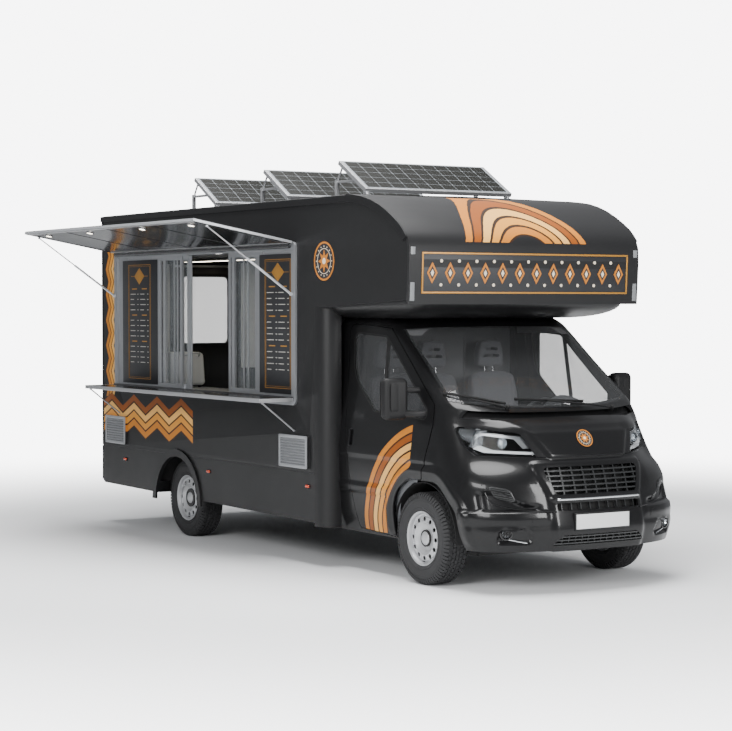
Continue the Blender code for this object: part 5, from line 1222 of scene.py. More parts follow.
def buildWheel():
    barrelLine = [
        (0.2050, 0.0925), (0.2140, 0.0985), (0.2175, 0.0985), (0.2185, 0.0960), (0.2120, 0.0905),
        (0.2075, 0.0800), (0.1960, 0.0560), (0.1850, 0.0100), (0.1950, -0.0600), (0.2075, -0.0860),
        (0.2160, -0.0950), (0.2130, -0.0975), (0.2020, -0.0880), (0.1900, -0.0600), (0.1800, 0.0100),
        (0.1900, 0.0520), (0.2000, 0.0800),
    ]
    discLine = [
        (0.1990, 0.0700), (0.1900, 0.0660), (0.1820, 0.0650), (0.1800, 0.0690), (0.1760, 0.0740),
        (0.1400, 0.0790), (0.1320, 0.0800), (0.1240, 0.0750), (0.1080, 0.0590), (0.0960, 0.0545),
        (0.0560, 0.0545), (0.0500, 0.0590), (0.0360, 0.0600), (0.0360, 0.0540), (0.0520, 0.0480),
        (0.1000, 0.0480), (0.1120, 0.0530), (0.1300, 0.0710), (0.1700, 0.0680), (0.1800, 0.0590),
        (0.1900, 0.0590), (0.1980, 0.0620),
    ]
    capLine = [(0.0, 0.0800), (0.0300, 0.0790), (0.0460, 0.0755), (0.0550, 0.0670), (0.0550, 0.0540)]
    capLine += [(0.0530, 0.0540), (0.0530, 0.0650), (0.0450, 0.0730), (0.0, 0.0775)]
    barrel, cap = turnedMesh(barrelLine, True, 72), turnedMesh(capLine, False, 36)
    hole = barMesh((0, 0.02, rim["holeRing"]), (0, 0.12, rim["holeRing"]), rim["hole"], 18)
    disc = carved(turnedMesh(discLine, True, 72), aroundWheel(hole, rim["holes"]))
    bolt = barMesh((0, 0.050, rim["boltRing"]), (0, 0.0640, rim["boltRing"]), 0.0080, 6, bevel=0.0012)
    drumLine = [(0.0, 0.045), (0.085, 0.044), (0.155, 0.020), (0.158, -0.030), (0.150, -0.034), (0.0, -0.034)]
    drum = turnedMesh(drumLine, False, 48)
    valve = barMesh((0.0, 0.070, -0.186), (0.0, 0.094, -0.180), 0.0045, 12, 0.0035)
    silver = [(barrel, wheelSilver), (bevelled(disc, 0.0006, 1, 50), wheelSilver), (cap, wheelSilver)]
    bolts = aroundWheel(bolt, rim["bolts"], castIron)
    return [*silver, (bolts, castIron), (drum, castIron), (valve, rubberSeal)]


tyreParts, wheelParts = buildTyre(), buildWheel()
for body, (x, y, ending) in wheelPlan.items():
    place = Matrix.Translation((x, y, tyre["radius"]))
    if y < 0:
        place = place @ Matrix.Scale(-1, 4, (0, 1, 0))
    for name, parts, node, slot in (
        ("tyre_tread_", tyreParts, "tyre_", "tyre_rubber"),
        ("wheel_disc_", wheelParts, "wheel_", "silver_wheel_paint"),
    ):
        finishPiece(name + ending, movedParts(parts, place), body, slot=slot, replaces=node + ending)
useCad(castIron, "knuckle_left", "knuckle_right", "engine_block")
useCad(chassisBlack, "front_axle", "rear_axle", "chassis_frame")
print("wheels made")


# the kitchen body: CAD panels with eased edges, and the trims that they carry
halfBox = truck["half"]
panelGrey = grained(newMaterial("dark_grey_powder_coat", "#2C2D2F", 0.40), 0.003, 0.00005)
paleTrim = newMaterial("pale_grey_corner_trim", "#77797B", 0.4)
nodeTrees = {}


def onNode(node, start, way):
    # where a ray first meets a CAD node, in truck lengths
    if node not in nodeTrees:
        mesh = cadCopy(node)
        corners, faces = [v.co for v in mesh.vertices], [tuple(p.vertices) for p in mesh.polygons]
        nodeTrees[node] = BVHTree.FromPolygons(corners, faces)
    place, normal, index, reach = nodeTrees[node].ray_cast(Vector(start), Vector(way).normalized())
    return place


def dressed(node, bevel, material, slot, body="truck", extra=(), name=None):
    parts = [(cadCopy(node, bevel), material), *extra]
    return finishPiece(name or node + "_skin", parts, body, slot=slot, replaces=node, sharp=25)


bodyNodes = {
    "box_side_right": (0.003, bodyWrap), "box_side_left": (0.003, bodyWrap), "rear_wall": (0.003, bodyWrap),
    "box_roof": (0.006, gelCoat), "alcove_pod": (0.012, noseWrap),
    "skirt_right": (0.004, bodyWrap), "skirt_left": (0.004, bodyWrap),
}
for node, (bevel, material) in bodyNodes.items():
    dressed(node, bevel, material, "charcoal_body_paint")
dressed("rear_bumper", 0.008, blackPlastic, "black_plastic")
dressed("box_floor", 0.0, darkLaminate, "grey_laminate")

# roof edge mouldings and the rear corner angles
moulding = {"low": 3.084, "high": 3.100, "proud": 0.008, "front": -0.88, "rear": truck["rear"]}
trims = []
for side in (-1, 1):
    near, far = sorted((side * halfBox, side * (halfBox + moulding["proud"])))
    rear, low = moulding["rear"], moulding["low"]
    trims.append(boxMesh((rear, near, low), (moulding["front"], far, moulding["high"]), 0.003))
    near, far = sorted((side * (halfBox - 0.030), side * (halfBox + 0.004)))
    trims.append(boxMesh((rear - 0.004, near, 0.80), (rear + 0.030, far, low), 0.004))
finishPiece("body_edge_trims", [(joined(*trims), gelCoat)], slot="charcoal_body_paint")

# alcove front: pale corner strips, and a framed sign panel with a plain row of diamonds
sign = {"low": 2.335, "high": 2.635, "half": 1.03, "diamond": (0.050, 0.085), "pitch": 0.172, "count": 12}


def podFront(z):
    # where the alcove's sloping front stands at a height
    return onNode("alcove_pod", (3, 0, z), (-1, 0, 0)).x


def signSlab(low, high, inner, outer, back, front, bevel=0.0015):
    # a slab on the sloping front between two heights and two widths
    lowX, highX = podFront(low), podFront(high)
    slab = boxMesh((back, inner, low), (front, outer, high), bevel)
    for vertex in slab.vertices:
        share = (vertex.co.z - low) / (high - low)
        vertex.co.x += lowX + (highX - lowX) * share
    return slab


low, high, half = sign["low"], sign["high"], sign["half"]
board = signSlab(low, high, -half, half, -0.002, 0.003)
edge = half + 0.014
barSpans = [(low - 0.014, low, -edge, edge), (high, high + 0.014, -edge, edge)]
barSpans += [(low, high, -edge, -half), (low, high, half, edge)]
frameBars = joined(*[signSlab(*span, -0.002, 0.007) for span in barSpans])
wide, tall = sign["diamond"]
middle = (low + high) / 2


def slopedPlate(outline, front):
    plate = plateMesh("YZ", [outline], 0.0, front)
    for vertex in plate.vertices:
        vertex.co.x += podFront(vertex.co.z)
    return plate


diamond = [(0, -tall), (wide, 0), (0, tall), (-wide, 0)]
first = -sign["pitch"] * (sign["count"] - 1) / 2


def ornamentRow(outline, front, count, material):
    plate = slopedPlate([(y + first, z + middle) for y, z in outline], front)
    return repeated(plate, count, step=(0, sign["pitch"], 0), material=material)


tan = newMaterial("tan_vinyl_print", toffee["mid"], 0.4)
cream = newMaterial("cream_vinyl_print", "#D9CDB8", 0.4)
count = sign["count"]
ornament = []
for scale, front, ink in ((1, 0.0045, tan), (0.62, 0.0055, boardBlack), (0.34, 0.0065, cream)):
    outline = [(y * scale, z * scale) for y, z in diamond]
    ornament.append((ornamentRow(outline, front, count, ink), ink))
for rise in (-0.095, 0.095):
    dots = [(y + sign["pitch"] / 2, z + rise) for y, z in circle((0, 0), 0.013, 16)]
    ornament.append((ornamentRow(dots, 0.0045, count - 1, cream), cream))
ornament = [(board, boardBlack), (frameBars, goldInk), *ornament]
finishPiece("alcove_ornament", ornament, slot="charcoal_body_paint")
stripSpans = ((-1.150, -1.108), (1.108, 1.150))
cornerStrips = joined(*[signSlab(2.262, 2.690, *span, -0.002, 0.004) for span in stripSpans])
finishPiece("alcove_corner_strips", [(cornerStrips, paleTrim)], slot="charcoal_body_paint")

# moulded fairing that closes the room between the alcove floor and the cab roof
fairing = {
    "back": -1.33, "front": 0.015, "half": 1.082, "corner": 0.14,
    "roof": 2.120, "roofFront": -0.50, "roofHalf": 0.82, "steps": 8,
}


def fairingRing(share):
    inwards, down = 1 - math.cos(share * math.pi / 2), math.sin(share * math.pi / 2)
    half = fairing["half"] + (fairing["roofHalf"] - fairing["half"]) * inwards
    front = fairing["front"] + (fairing["roofFront"] - fairing["front"]) * inwards
    corner = fairing["corner"]
    arc = [math.radians(15 * k) for k in range(7)]
    side = [(front - corner * (1 - math.sin(a)), half - corner * (1 - math.cos(a))) for a in arc]
    side.insert(0, (fairing["back"], half))
    plan = [(x, -y) for x, y in side] + [(front, 0)] + side[::-1]
    tops = [2.208 + 0.0301 * (x + 1.36) for x, y in plan]
    return [(x, y, top + (fairing["roof"] - top) * down) for (x, y), top in zip(plan, tops)]


soffit = thickened([fairingRing(k / fairing["steps"]) for k in range(fairing["steps"] + 1)], 0.004)
finishPiece("alcove_soffit", [(soffit, gelCoat)], slot="charcoal_body_paint")

# fairings close the corners between the kitchen body and the cab
fairingLine = [(-1.40, 1.1655), (-1.36, 1.1650), (-1.320, 1.1580), (-1.280, 1.1350)]
fairingLine += [(-1.250, 1.0950), (-1.236, 1.045), (-1.232, 1.000)]
fairingRows = [[(x, y, z) for x, y in fairingLine] for z in (0.345, 0.80, 1.20, 1.70, 2.10, 2.215)]
forBothSides("body_fairing", [(thickened(fairingRows, 0.004), bodyWrap)], slot="charcoal_body_paint")


# round badges: rings, a star and dots
def badgeParts(radius, thick):
    turns = [math.tau * k / 16 for k in range(16)]
    reaches = [radius * (0.60 if k % 2 == 0 else 0.30) for k in range(16)]
    star = [(reach * math.cos(turn), reach * math.sin(turn)) for reach, turn in zip(reaches, turns)]
    centers = [(radius * 0.76 * math.cos(turn), radius * 0.76 * math.sin(turn)) for turn in turns]
    dots = [circle(center, radius * 0.035, 10) for center in centers]
    disc = plateMesh("XZ", [circle((0, 0), radius, 64)], 0, thick)
    ring = plateMesh("XZ", [circle((0, 0), radius, 64), circle((0, 0), radius * 0.90, 64)], -thick, 0)
    innerLines = [circle((0, 0), radius * share, 48) for share in (0.66, 0.63)]
    innerRing = plateMesh("XZ", innerLines, -thick, 0)
    return [
        (disc, boardBlack), (ring, tan), (innerRing, cream), (plateMesh("XZ", [star], -thick, 0), tan),
        (plateMesh("XZ", [circle((0, 0), radius * 0.16, 32)], -thick * 1.6, -thick), cream),
        *[(plateMesh("XZ", [dot], -thick, 0), cream) for dot in dots]
    ]


badge = Matrix.Translation((-1.24, -halfBox - 0.0005, 2.60))
finishPiece("side_badge", movedParts(badgeParts(0.165, 0.0008), badge), slot="charcoal_body_paint")

# louvred vents and orange side markers
ventGrey = grained(newMaterial("silver_grey_enamel", "#8D8F92", 0.4, 0.3), 0.003, 0.00004)
vents = {"front": (-1.968, -1.488), "rear": (-5.556, -5.095), "z": (0.828, 1.109), "slats": 9}


def ventParts(x0, x1):
    z0, z1 = vents["z"]
    y = onNode("box_side_right", ((x0 + x1) / 2, -3, z0 + 0.02), (0, 1, 0)).y
    outline = oblong((x0, z0), (x1, z1), 0.012)
    opening = oblong((x0 + 0.028, z0 + 0.028), (x1 - 0.028, z1 - 0.028), 0.006)
    ring = plateMesh("XZ", [outline, opening], y - 0.009, y, 0.002)
    back = boxMesh((x0 + 0.02, y - 0.002, z0 + 0.02), (x1 - 0.02, y - 0.0005, z1 - 0.02))
    pitch = (z1 - z0 - 0.060) / vents["slats"]
    slat = boxMesh((x0 + 0.026, -0.0050, -0.0015), (x1 - 0.026, 0.0050, 0.0015))
    slat = placed(slat, (0, y - 0.0045, z0 + 0.034 + pitch / 2), (math.radians(48), 0, 0))
    slats = repeated(slat, vents["slats"], step=(0, 0, pitch), material=ventGrey)
    corners = [(x, z) for x in (x0 + 0.013, x1 - 0.013) for z in (z0 + 0.013, z1 - 0.013)]
    screws = [barMesh((x, y - 0.011, z), (x, y - 0.008, z), 0.0045, 12) for x, z in corners]
    return [(ring, ventGrey), (back, trimPlastic), (slats, ventGrey), (joined(*screws), stainless)]


for ending in ("front", "rear"):
    finishPiece("side_vent_" + ending, ventParts(*vents[ending]), slot="charcoal_body_paint")


def markerParts(x, z, y, side):
    base = boxMesh((x - 0.034, y - 0.004, z - 0.017), (x + 0.034, y + 0.004, z + 0.017), 0.003)
    near, far = sorted((y, y + side * 0.014))
    lens = boxMesh((x - 0.028, near, z - 0.012), (x + 0.028, far, z + 0.012), 0.005, 3)
    return [(base, blackPlastic), (lens, amberLens)]


markers = []
for x in (-5.131, -3.333, -1.513):
    for side in (-1, 1):
        markers += markerParts(x, 0.68, side * (halfBox + 0.001), side)
finishPiece("side_markers", markers, slot="clear_lamp")
print("kitchen body made")

# serving hatch: grey frame, menu boards without lettering, and sliding glass
hatch = {
    "boards": ((-5.070, -4.540), (-2.275, -1.784)), "backs": ((-5.190, -4.405), (-2.360, -1.742)),
    "z": (1.485, 2.648), "face": -1.1615,
}


def boardParts(x0, x1, back):
    z0, z1 = hatch["z"]
    y = hatch["face"]

    def bar(left, right, z, half):
        return boxMesh((left, y - 0.0042, z - half), (right, y - 0.003, z + half))

    panel = boxMesh((back[0], y - 0.003, z0 - 0.030), (back[1], y, z1 + 0.028), 0.001)
    lines = []
    for inset, thick in ((0.020, 0.0045), (0.034, 0.0022)):
        outer = rectangle(x0 + inset, z0 + inset, x1 - inset, z1 - inset)
        lines.append(plateMesh("XZ", [outer, grown(outer, -thick)], y - 0.0042, y - 0.003))
    middle, top = (x0 + x1) / 2, z1 - 0.13
    gem = [(middle, top - 0.055), (middle + 0.075, top), (middle, top + 0.055), (middle - 0.075, top)]
    lines.append(plateMesh("XZ", [gem, grown(gem, -0.006)], y - 0.0042, y - 0.003))
    lines.append(plateMesh("XZ", [grown(gem, -0.022)], y - 0.0042, y - 0.003))
    for side in (-1, 1):
        center = middle + side * 0.14
        lines.append(bar(center - 0.05, center + 0.05, top, 0.002))
    # pale bars stand where a printed list would be
    bars = []
    for column in (-1, 1):
        center = middle + column * (x1 - x0) * 0.21
        for row in range(15):
            z = top - 0.125 - row * 0.052
            long = 0.085 - 0.030 * ((row * 7 + column * 3) % 4) / 3
            if row % 5 == 0:
                lines.append(bar(center - 0.055, center + 0.055, z, 0.005))
            else:
                bars.append(bar(center - 0.09, center - 0.09 + long * 1.4, z, 0.003))
                bars.append(bar(center + 0.065, center + 0.09, z, 0.003))
    return [(panel, boardBlack), (joined(*lines), goldInk), (joined(*bars), paleInk)]


frameGrey = grained(newMaterial("satin_grey_aluminium", "#9C9EA1", 0.34, 0.7), 0.003, 0.00003)
dressed("hatch_frame", 0.003, frameGrey, "brushed_aluminium")
for index, span in enumerate(hatch["boards"]):
    finishPiece(
        "menu_board_" + ("rear", "front")[index], boardParts(*span, hatch["backs"][index]),
        slot="grey_laminate"
    )
glassZ = (1.452, 2.690)
sashes = []
panes = []
rearSashes = (-4.392, -4.050, -1.128), (-4.110, -3.772, -1.120)
frontSashes = (-2.989, -2.660, -1.120), (-2.700, -2.368, -1.128)
for x0, x1, y in rearSashes + frontSashes:
    z0, z1 = glassZ
    ring = rectangle(x0, z0, x1, z1)
    sashes.append(plateMesh("XZ", [ring, grown(ring, -0.026)], y - 0.004, y + 0.004, 0.001))
    panes.append(boxMesh((x0 + 0.02, y - 0.002, z0 + 0.02), (x1 - 0.02, y + 0.002, z1 - 0.02)))
finishPiece("hatch_sashes", [(joined(*sashes), frameGrey), (joined(*panes), hatchGlass)], slot="tinted_glass")

# counter: black laminate top in an aluminium edge
counterX, counterY = (-5.3205, -1.7195), (-1.5195, -1.190)
edge = boxMesh(
    (counterX[0] - 0.003, counterY[0] - 0.004, 1.394), (counterX[1] + 0.003, counterY[0] + 0.012, 1.429),
    0.003
)
endsX = (counterX[0] + 0.005, counterX[1] - 0.005)
ends = [boxMesh((x - 0.008, counterY[0], 1.394), (x + 0.008, counterY[1], 1.429), 0.003) for x in endsX]
topSheet = boxMesh(
    (counterX[0] + 0.018, counterY[0] + 0.013, 1.4235), (counterX[1] - 0.018, counterY[1], 1.4275), 0.001
)
gel = grained(newMaterial("black_counter_laminate", "#121213", 0.22), 0.002, 0.00003)
counterParts = [(edge, aluminium), (joined(*ends), aluminium), (topSheet, gel)]
dressed("counter_flap", 0.002, panelGrey, "grey_laminate", "counter", counterParts, "counter_top_skin")
for ending in ("front", "rear"):
    dressed("counter_stay_" + ending, 0.002, frameGrey, "brushed_aluminium", "stay_" + ending)

# awning: gloss dark skin in a silver frame with round lights under it
awning = {
    "x": (-5.33, -1.715), "slope": (2.9332 - 2.7969) / (2.0 - 1.25),
    "lights": (-4.98, -4.02, -2.90, -1.95), "rails": (-2.140, -1.235),
}


def underAwning(x, y):
    return onNode("awning_flap", (x, y, 0.5), (0, 0, 1))


paleMetal = grained(newMaterial("pale_anodised_section", "#BFC1C4", 0.36, 0.5), 0.003, 0.00003)
awningGloss = grained(newMaterial("gloss_charcoal_panel", "#1F2022", 0.18, Coat_Weight=0.2), 0.02, 0.00005)
leanAwning = Matrix.Rotation(-math.atan(awning["slope"]), 4, "X")
awningParts = []
for x in awning["lights"]:
    seat = Matrix.Translation(underAwning(x, -2.05)) @ leanAwning
    puck = barMesh((0, 0, -0.010), (0, 0, 0.001), 0.034, 32, bevel=0.002)
    glow = barMesh((0, 0, -0.0115), (0, 0, -0.009), 0.026, 28)
    awningParts += [(moved(puck, seat), aluminium), (moved(glow, seat), ledLight)]
x0, x1 = awning["x"]
outerY, innerY = awning["rails"]
for y in (outerY, innerY):
    place = Matrix.Translation(underAwning(x0 + 0.02, y)) @ leanAwning
    rail = boxMesh((0, -0.016, -0.004), ((x1 - 0.02) - (x0 + 0.02), 0.016, 0.002), 0.0015)
    awningParts.append((moved(rail, place), aluminium))
for x in (x0 + 0.03, -4.43, -3.52, -2.62, x1 - 0.03):
    place = Matrix.Translation(underAwning(x, innerY)) @ leanAwning
    reach = math.hypot(innerY - outerY, (innerY - outerY) * awning["slope"])
    awningParts.append(
        (moved(boxMesh((-0.012, -reach, -0.003), (0.012, 0, 0.002), 0.0015), place), awningGloss)
    )
# silver edge sections on the awning's outer edge and ends
hinge = Matrix.Translation(underAwning(-3.5, -1.25)) @ leanAwning
reach = (2.1558 - 1.25) * math.hypot(1, awning["slope"])
edges = [boxMesh((-1.8365, -reach - 0.004, 0.002), (1.7905, -reach + 0.014, 0.024), 0.003)]
edges += [boxMesh((x - 0.009, -reach, 0.002), (x + 0.009, 0.045, 0.024), 0.003) for x in (-1.8295, 1.7835)]
awningParts.append((moved(joined(*edges), hinge), paleMetal))
dressed("awning_flap", 0.003, awningGloss, "charcoal_body_paint", "awning", awningParts)
for ending in ("front", "rear"):
    dressed("awning_strut_tube_" + ending, 0.001, paleMetal, "brushed_aluminium", "strut_tube_" + ending)
    dressed("awning_strut_rod_" + ending, 0.0008, paleMetal, "brushed_aluminium", "strut_rod_" + ending)
print("hatch, awning and counter made")

# solar panels: near-black cells with cut corners and fine silver busbars, in aluminium frames
solarCell = grained(
    newMaterial("monocrystalline_cell", "#12120F", 0.40, Specular_IOR_Level=0.2), 0.02, 0.00002
)
solarBack = newMaterial("grey_solar_backing", "#7A7E82", 0.5, Specular_IOR_Level=0.12)
solar = {"columns": 11, "rows": 5, "half": 0.742}
solarX = {"1": (-1.640, -1.225), "2": (-2.969, -2.554), "3": (-4.358, -3.943)}
for ending, (xTop, xLow) in solarX.items():
    node = "solar_panel_" + ending
    upper = onNode(node, (xTop, 0.3, 6), (0, 0, -1))
    lower = onNode(node, (xLow, 0.3, 6), (0, 0, -1))
    along = (lower - upper).normalized()
    normal = Vector((-along.z, 0, along.x))
    frameTurn = Matrix((along, Vector((0, 1, 0)), normal)).transposed().to_4x4()
    place = Matrix.Translation(Vector((upper.x, 0, upper.z))) @ frameTurn
    reach = (lower - upper).length
    backing = boxMesh((0.002, -solar["half"], 0.0), (reach - 0.002, solar["half"], 0.0015))
    cellLong, cellWide = (reach - 0.02) / solar["rows"], 2 * (solar["half"] - 0.012) / solar["columns"]
    long, wide = cellLong - 0.006, cellWide - 0.006
    cell = [(0.006, 0.002), (long, 0.002), (cellLong - 0.002, 0.006), (cellLong - 0.002, wide)]
    cell += [(long, cellWide - 0.002), (0.006, cellWide - 0.002), (0.002, wide), (0.002, 0.006)]
    tile = plateMesh("XY", [cell], 0.0015, 0.0022)
    tile = moved(tile, Matrix.Translation((0.01, -solar["half"] + 0.012, 0)))
    row = repeated(tile, solar["columns"], step=(0, cellWide, 0), material=solarCell)
    cells = repeated(row, solar["rows"], step=(cellLong, 0, 0), material=solarCell)
    strip = boxMesh((0.01, -0.0003, 0.0022), (reach - 0.01, 0.0003, 0.0025))
    strip = moved(strip, Matrix.Translation((0, -solar["half"] + 0.012 + cellWide * 0.33, 0)))
    pair = [moved(strip, Matrix.Translation((0, k * cellWide * 0.34, 0))) for k in (0, 1)]
    busbars = joined(
        *[repeated(bar, solar["columns"], step=(0, cellWide, 0), material=chrome) for bar in pair]
    )
    extra = [
        (moved(backing, place), solarBack), (moved(cells, place), solarCell), (moved(busbars, place), chrome)
    ]
    dressed(node, 0.002, aluminium, "solar_frame", "truck", extra)
print("solar panels made")


# cab interior: floor, firewall, wheel houses, headlining and door cards
cabFloor = boxMesh((-1.30, -0.86, 0.525), (0.30, 0.86, 0.545), 0.004)
floorRibs = repeated(
    boxMesh((-0.50, -0.80, 0.545), (0.20, -0.792, 0.549)), 33, step=(0, 0.05, 0), material=rubberSeal
)
firewallRows = ((0.30, 0.84, 0.54), (0.36, 0.80, 0.90), (0.34, 0.74, 1.27))
firewall = thickened([[(x, -half, z), (x, half, z)] for x, half, z in firewallRows], 0.012)
finishPiece(
    "cab_floor_mat", [(cabFloor, trimPlastic), (floorRibs, rubberSeal), (firewall, chassisBlack)],
    slot="cab_trim"
)


def archLiner(x, radius, inner, outer, low):
    # a black wheel-house liner: a half drum open towards the wheel
    angles = [math.pi * (-0.12 + 1.24 * k / 22) for k in range(23)]
    arch = [(x + radius * math.cos(a), max(low, 0.37 + radius * math.sin(a))) for a in angles]
    drum = thickened([[(u, y, v) for u, v in arch] for y in (inner, outer)], 0.006)
    disc = plateMesh("XZ", [arch], inner - 0.003, inner + 0.003)
    return joined(drum, disc)


linerPlastic = grained(newMaterial("black_wheel_house_liner", "#0A0A0B", 0.8), 0.006, 0.0003)
liners = [archLiner(0.0, 0.448, 0.50, 0.985, 0.36), archLiner(-4.0345, 0.432, 0.62, 1.12, 0.40)]
finishPiece(
    "wheel_house_liners", [(joined(*liners, *[mirrored(l) for l in liners]), linerPlastic)],
    slot="black_plastic"
)
# headlining, rear panel and pillars close the cab's inside
liningGrey = grained(newMaterial("grey_moulded_headlining", "#8B8C8E", 0.9), 0.0025, 0.0002)
liningCut = plateMesh("XZ", [[(-1.30, 1.98), (-0.42, 1.98), (-0.60, 2.2), (-1.30, 2.2)]], -0.1, 1.2)
lining = wholeWidth(kept(layer(-0.030, -0.036, plain=True, lowest=1.95, highest=2.2), liningCut))
rearPanel = boxMesh((-1.330, -0.83, 0.56), (-1.318, 0.83, 2.03), 0.003)
rearRibs = repeated(
    boxMesh((-1.318, -0.70, 0.95), (-1.312, -0.66, 1.95), 0.002), 5, step=(0, 0.34, 0), material=liningGrey
)
finishPiece(
    "cab_lining", [(lining, liningGrey), (rearPanel, liningGrey), (rearRibs, liningGrey)], slot="cab_trim"
)
card = sidePart(
    [grown(doorLine, -0.035)], -0.042, -0.048, plain=True, lowest=0.40, highest=1.34, rearmost=-1.3
)
card = kept(card, plateMesh("XZ", [rectangle(-1.15, 0.4, -0.10, 1.30)], 0.3, 1.3))
armRest = boxMesh((-0.85, 0.800, 1.00), (-0.35, 0.868, 1.06), 0.016, 3)
bin = boxMesh((-0.90, 0.790, 0.62), (-0.30, 0.868, 0.80), 0.014, 3)
forBothSides(
    "door_card", [(card, trimPlastic), (armRest, trimPlastic), (bin, trimPlastic)], doorBodies,
    slot="cab_trim"
)

# dashboard: padded top, instrument hood, vents, screen and glove box
dashBody = cadCopy("dashboard", 0.010, 3)
hoodLine = [(0.20, 0.0), (0.215, -0.05), (0.20, -0.14), (0.17, -0.17)]
hoodLine += [(0.16, -0.16), (0.185, -0.12), (0.19, -0.05), (0.185, 0.0)]
hood = kept(turnedMesh(hoodLine, True, 40), boxMesh((-0.4, -0.4, 0.0), (0.4, 0.4, 0.4)))
hoodTurn = Matrix.Rotation(math.radians(90), 4, "Z") @ Matrix.Scale(0.90, 4, (0, 0, 1))
hood = moved(hood, Matrix.Translation((-0.10, 0.44, 1.285)) @ hoodTurn)
ventYs = (-0.76, -0.10, 0.02, 0.76)
ventBars = [boxMesh((-0.300, y - 0.050, 1.175), (-0.272, y + 0.050, 1.245), 0.006) for y in ventYs]
screenPanel = boxMesh((-0.292, -0.12, 1.085), (-0.262, 0.06, 1.165), 0.004)
gloveBox = boxMesh((-0.262, -0.74, 1.06), (-0.235, -0.30, 1.16), 0.008)
dashParts = [(dashBody, trimPlastic), (hood, trimPlastic), (joined(*ventBars), glossPlastic)]
dashParts += [(screenPanel, glossPlastic), (gloveBox, trimPlastic)]
finishPiece("dashboard_skin", dashParts, slot="cab_trim", replaces="dashboard")
columnTop, columnFoot = Vector((-0.36, 0.44, 1.24)), Vector((0.05, 0.44, 1.05))
steerTilt = (columnTop - columnFoot).normalized()
steerLean = Vector((0, -1, 0)).rotation_difference(steerTilt).to_matrix().to_4x4()
steerPlace = Matrix.Translation(columnTop + steerTilt * 0.0253) @ steerLean
rimAngles = [math.tau * k / 14 for k in range(14)]
rimSkin = turnedMesh([(0.20 + 0.0145 * math.cos(a), 0.0145 * math.sin(a)) for a in rimAngles], True, 56)
hubSkin = turnedMesh(
    [(0.0, -0.024), (0.045, -0.022), (0.066, -0.010), (0.070, 0.004), (0.062, 0.022), (0.0, 0.024)], False, 36
)
spokes = [boxMesh((x, -0.007, -0.019), (x + 0.145, 0.006, 0.019), 0.005) for x in (-0.195, 0.05)]
lowSpoke = boxMesh((0.05, -0.007, -0.022), (0.195, 0.006, 0.022), 0.005)
spokes = joined(*spokes, placed(lowSpoke, (0, 0, 0), (0, math.radians(90), 0)))
steerParts = movedParts([(mesh, trimPlastic) for mesh in (rimSkin, hubSkin, spokes)], steerPlace)
finishPiece("steering_wheel_skin", steerParts, "hand_wheel", slot="black_plastic", replaces="steering_wheel")

# seats: crowned cushions, pulled in at their welts
seatWeave = newMaterial("grey_woven_seat_cloth", "#8A8C91", 0.85, Sheen_Weight=0.25)
tree, shader = shaderOf(seatWeave)
weavePlace = truckPlace(tree)
threads = [
    addNode(
        tree, "ShaderNodeTexWave", {"Vector": weavePlace, "Scale": 160.0}, wave_type="BANDS",
        bands_direction=axis
    ).outputs["Fac"]
    for axis in ("Y", "Z")
]
addBump(seatWeave, math2(tree, "MULTIPLY", *threads), 0.0004)
mottled = mixColor(tree, noiseOf(tree, weavePlace, 0.012, 3.0), hexColor("#7C7E83"), hexColor("#98999E"))
tree.links.new(mottled, shader.inputs["Base Color"])


def cushionMesh(low, high, crown, cuts=14, pull=0.05):
    # a box whose faces swell in the middle and whose sides pull in between the corners
    low, high = Vector(low), Vector(high)
    middle, half = (low + high) / 2, (high - low) / 2
    work = bmesh.new()
    bmesh.ops.create_cube(work, size=2.0)
    bmesh.ops.subdivide_edges(work, edges=work.edges, cuts=cuts, use_grid_fill=True)
    for vertex in work.verts:
        u = vertex.co.copy()
        place = Vector()
        for axis in range(3):
            a, b = u[(axis + 1) % 3] ** 2, u[(axis + 2) % 3] ** 2
            place[axis] = u[axis] * (
                half[axis] * math.sqrt(1 - pull * (a * a + b * b)) + crown[axis] * (1 - a) * (1 - b)
            )
        vertex.co = middle + place
    return released(work, "cushion")


def seamGrooves(mesh, seams, width=0.008, depth=0.007):
    # sewn channels: (axis, position) planes draw the surface in
    mesh = modified(mesh, "SUBSURF", levels=1, render_levels=1)
    normals = [v.normal.copy() for v in mesh.vertices]
    for vertex, normal in zip(mesh.vertices, normals):
        for axis, at in seams:
            near = abs(vertex.co[axis] - at) / width
            if near < 2:
                vertex.co -= normal * depth * math.exp(-near * near)
    return mesh


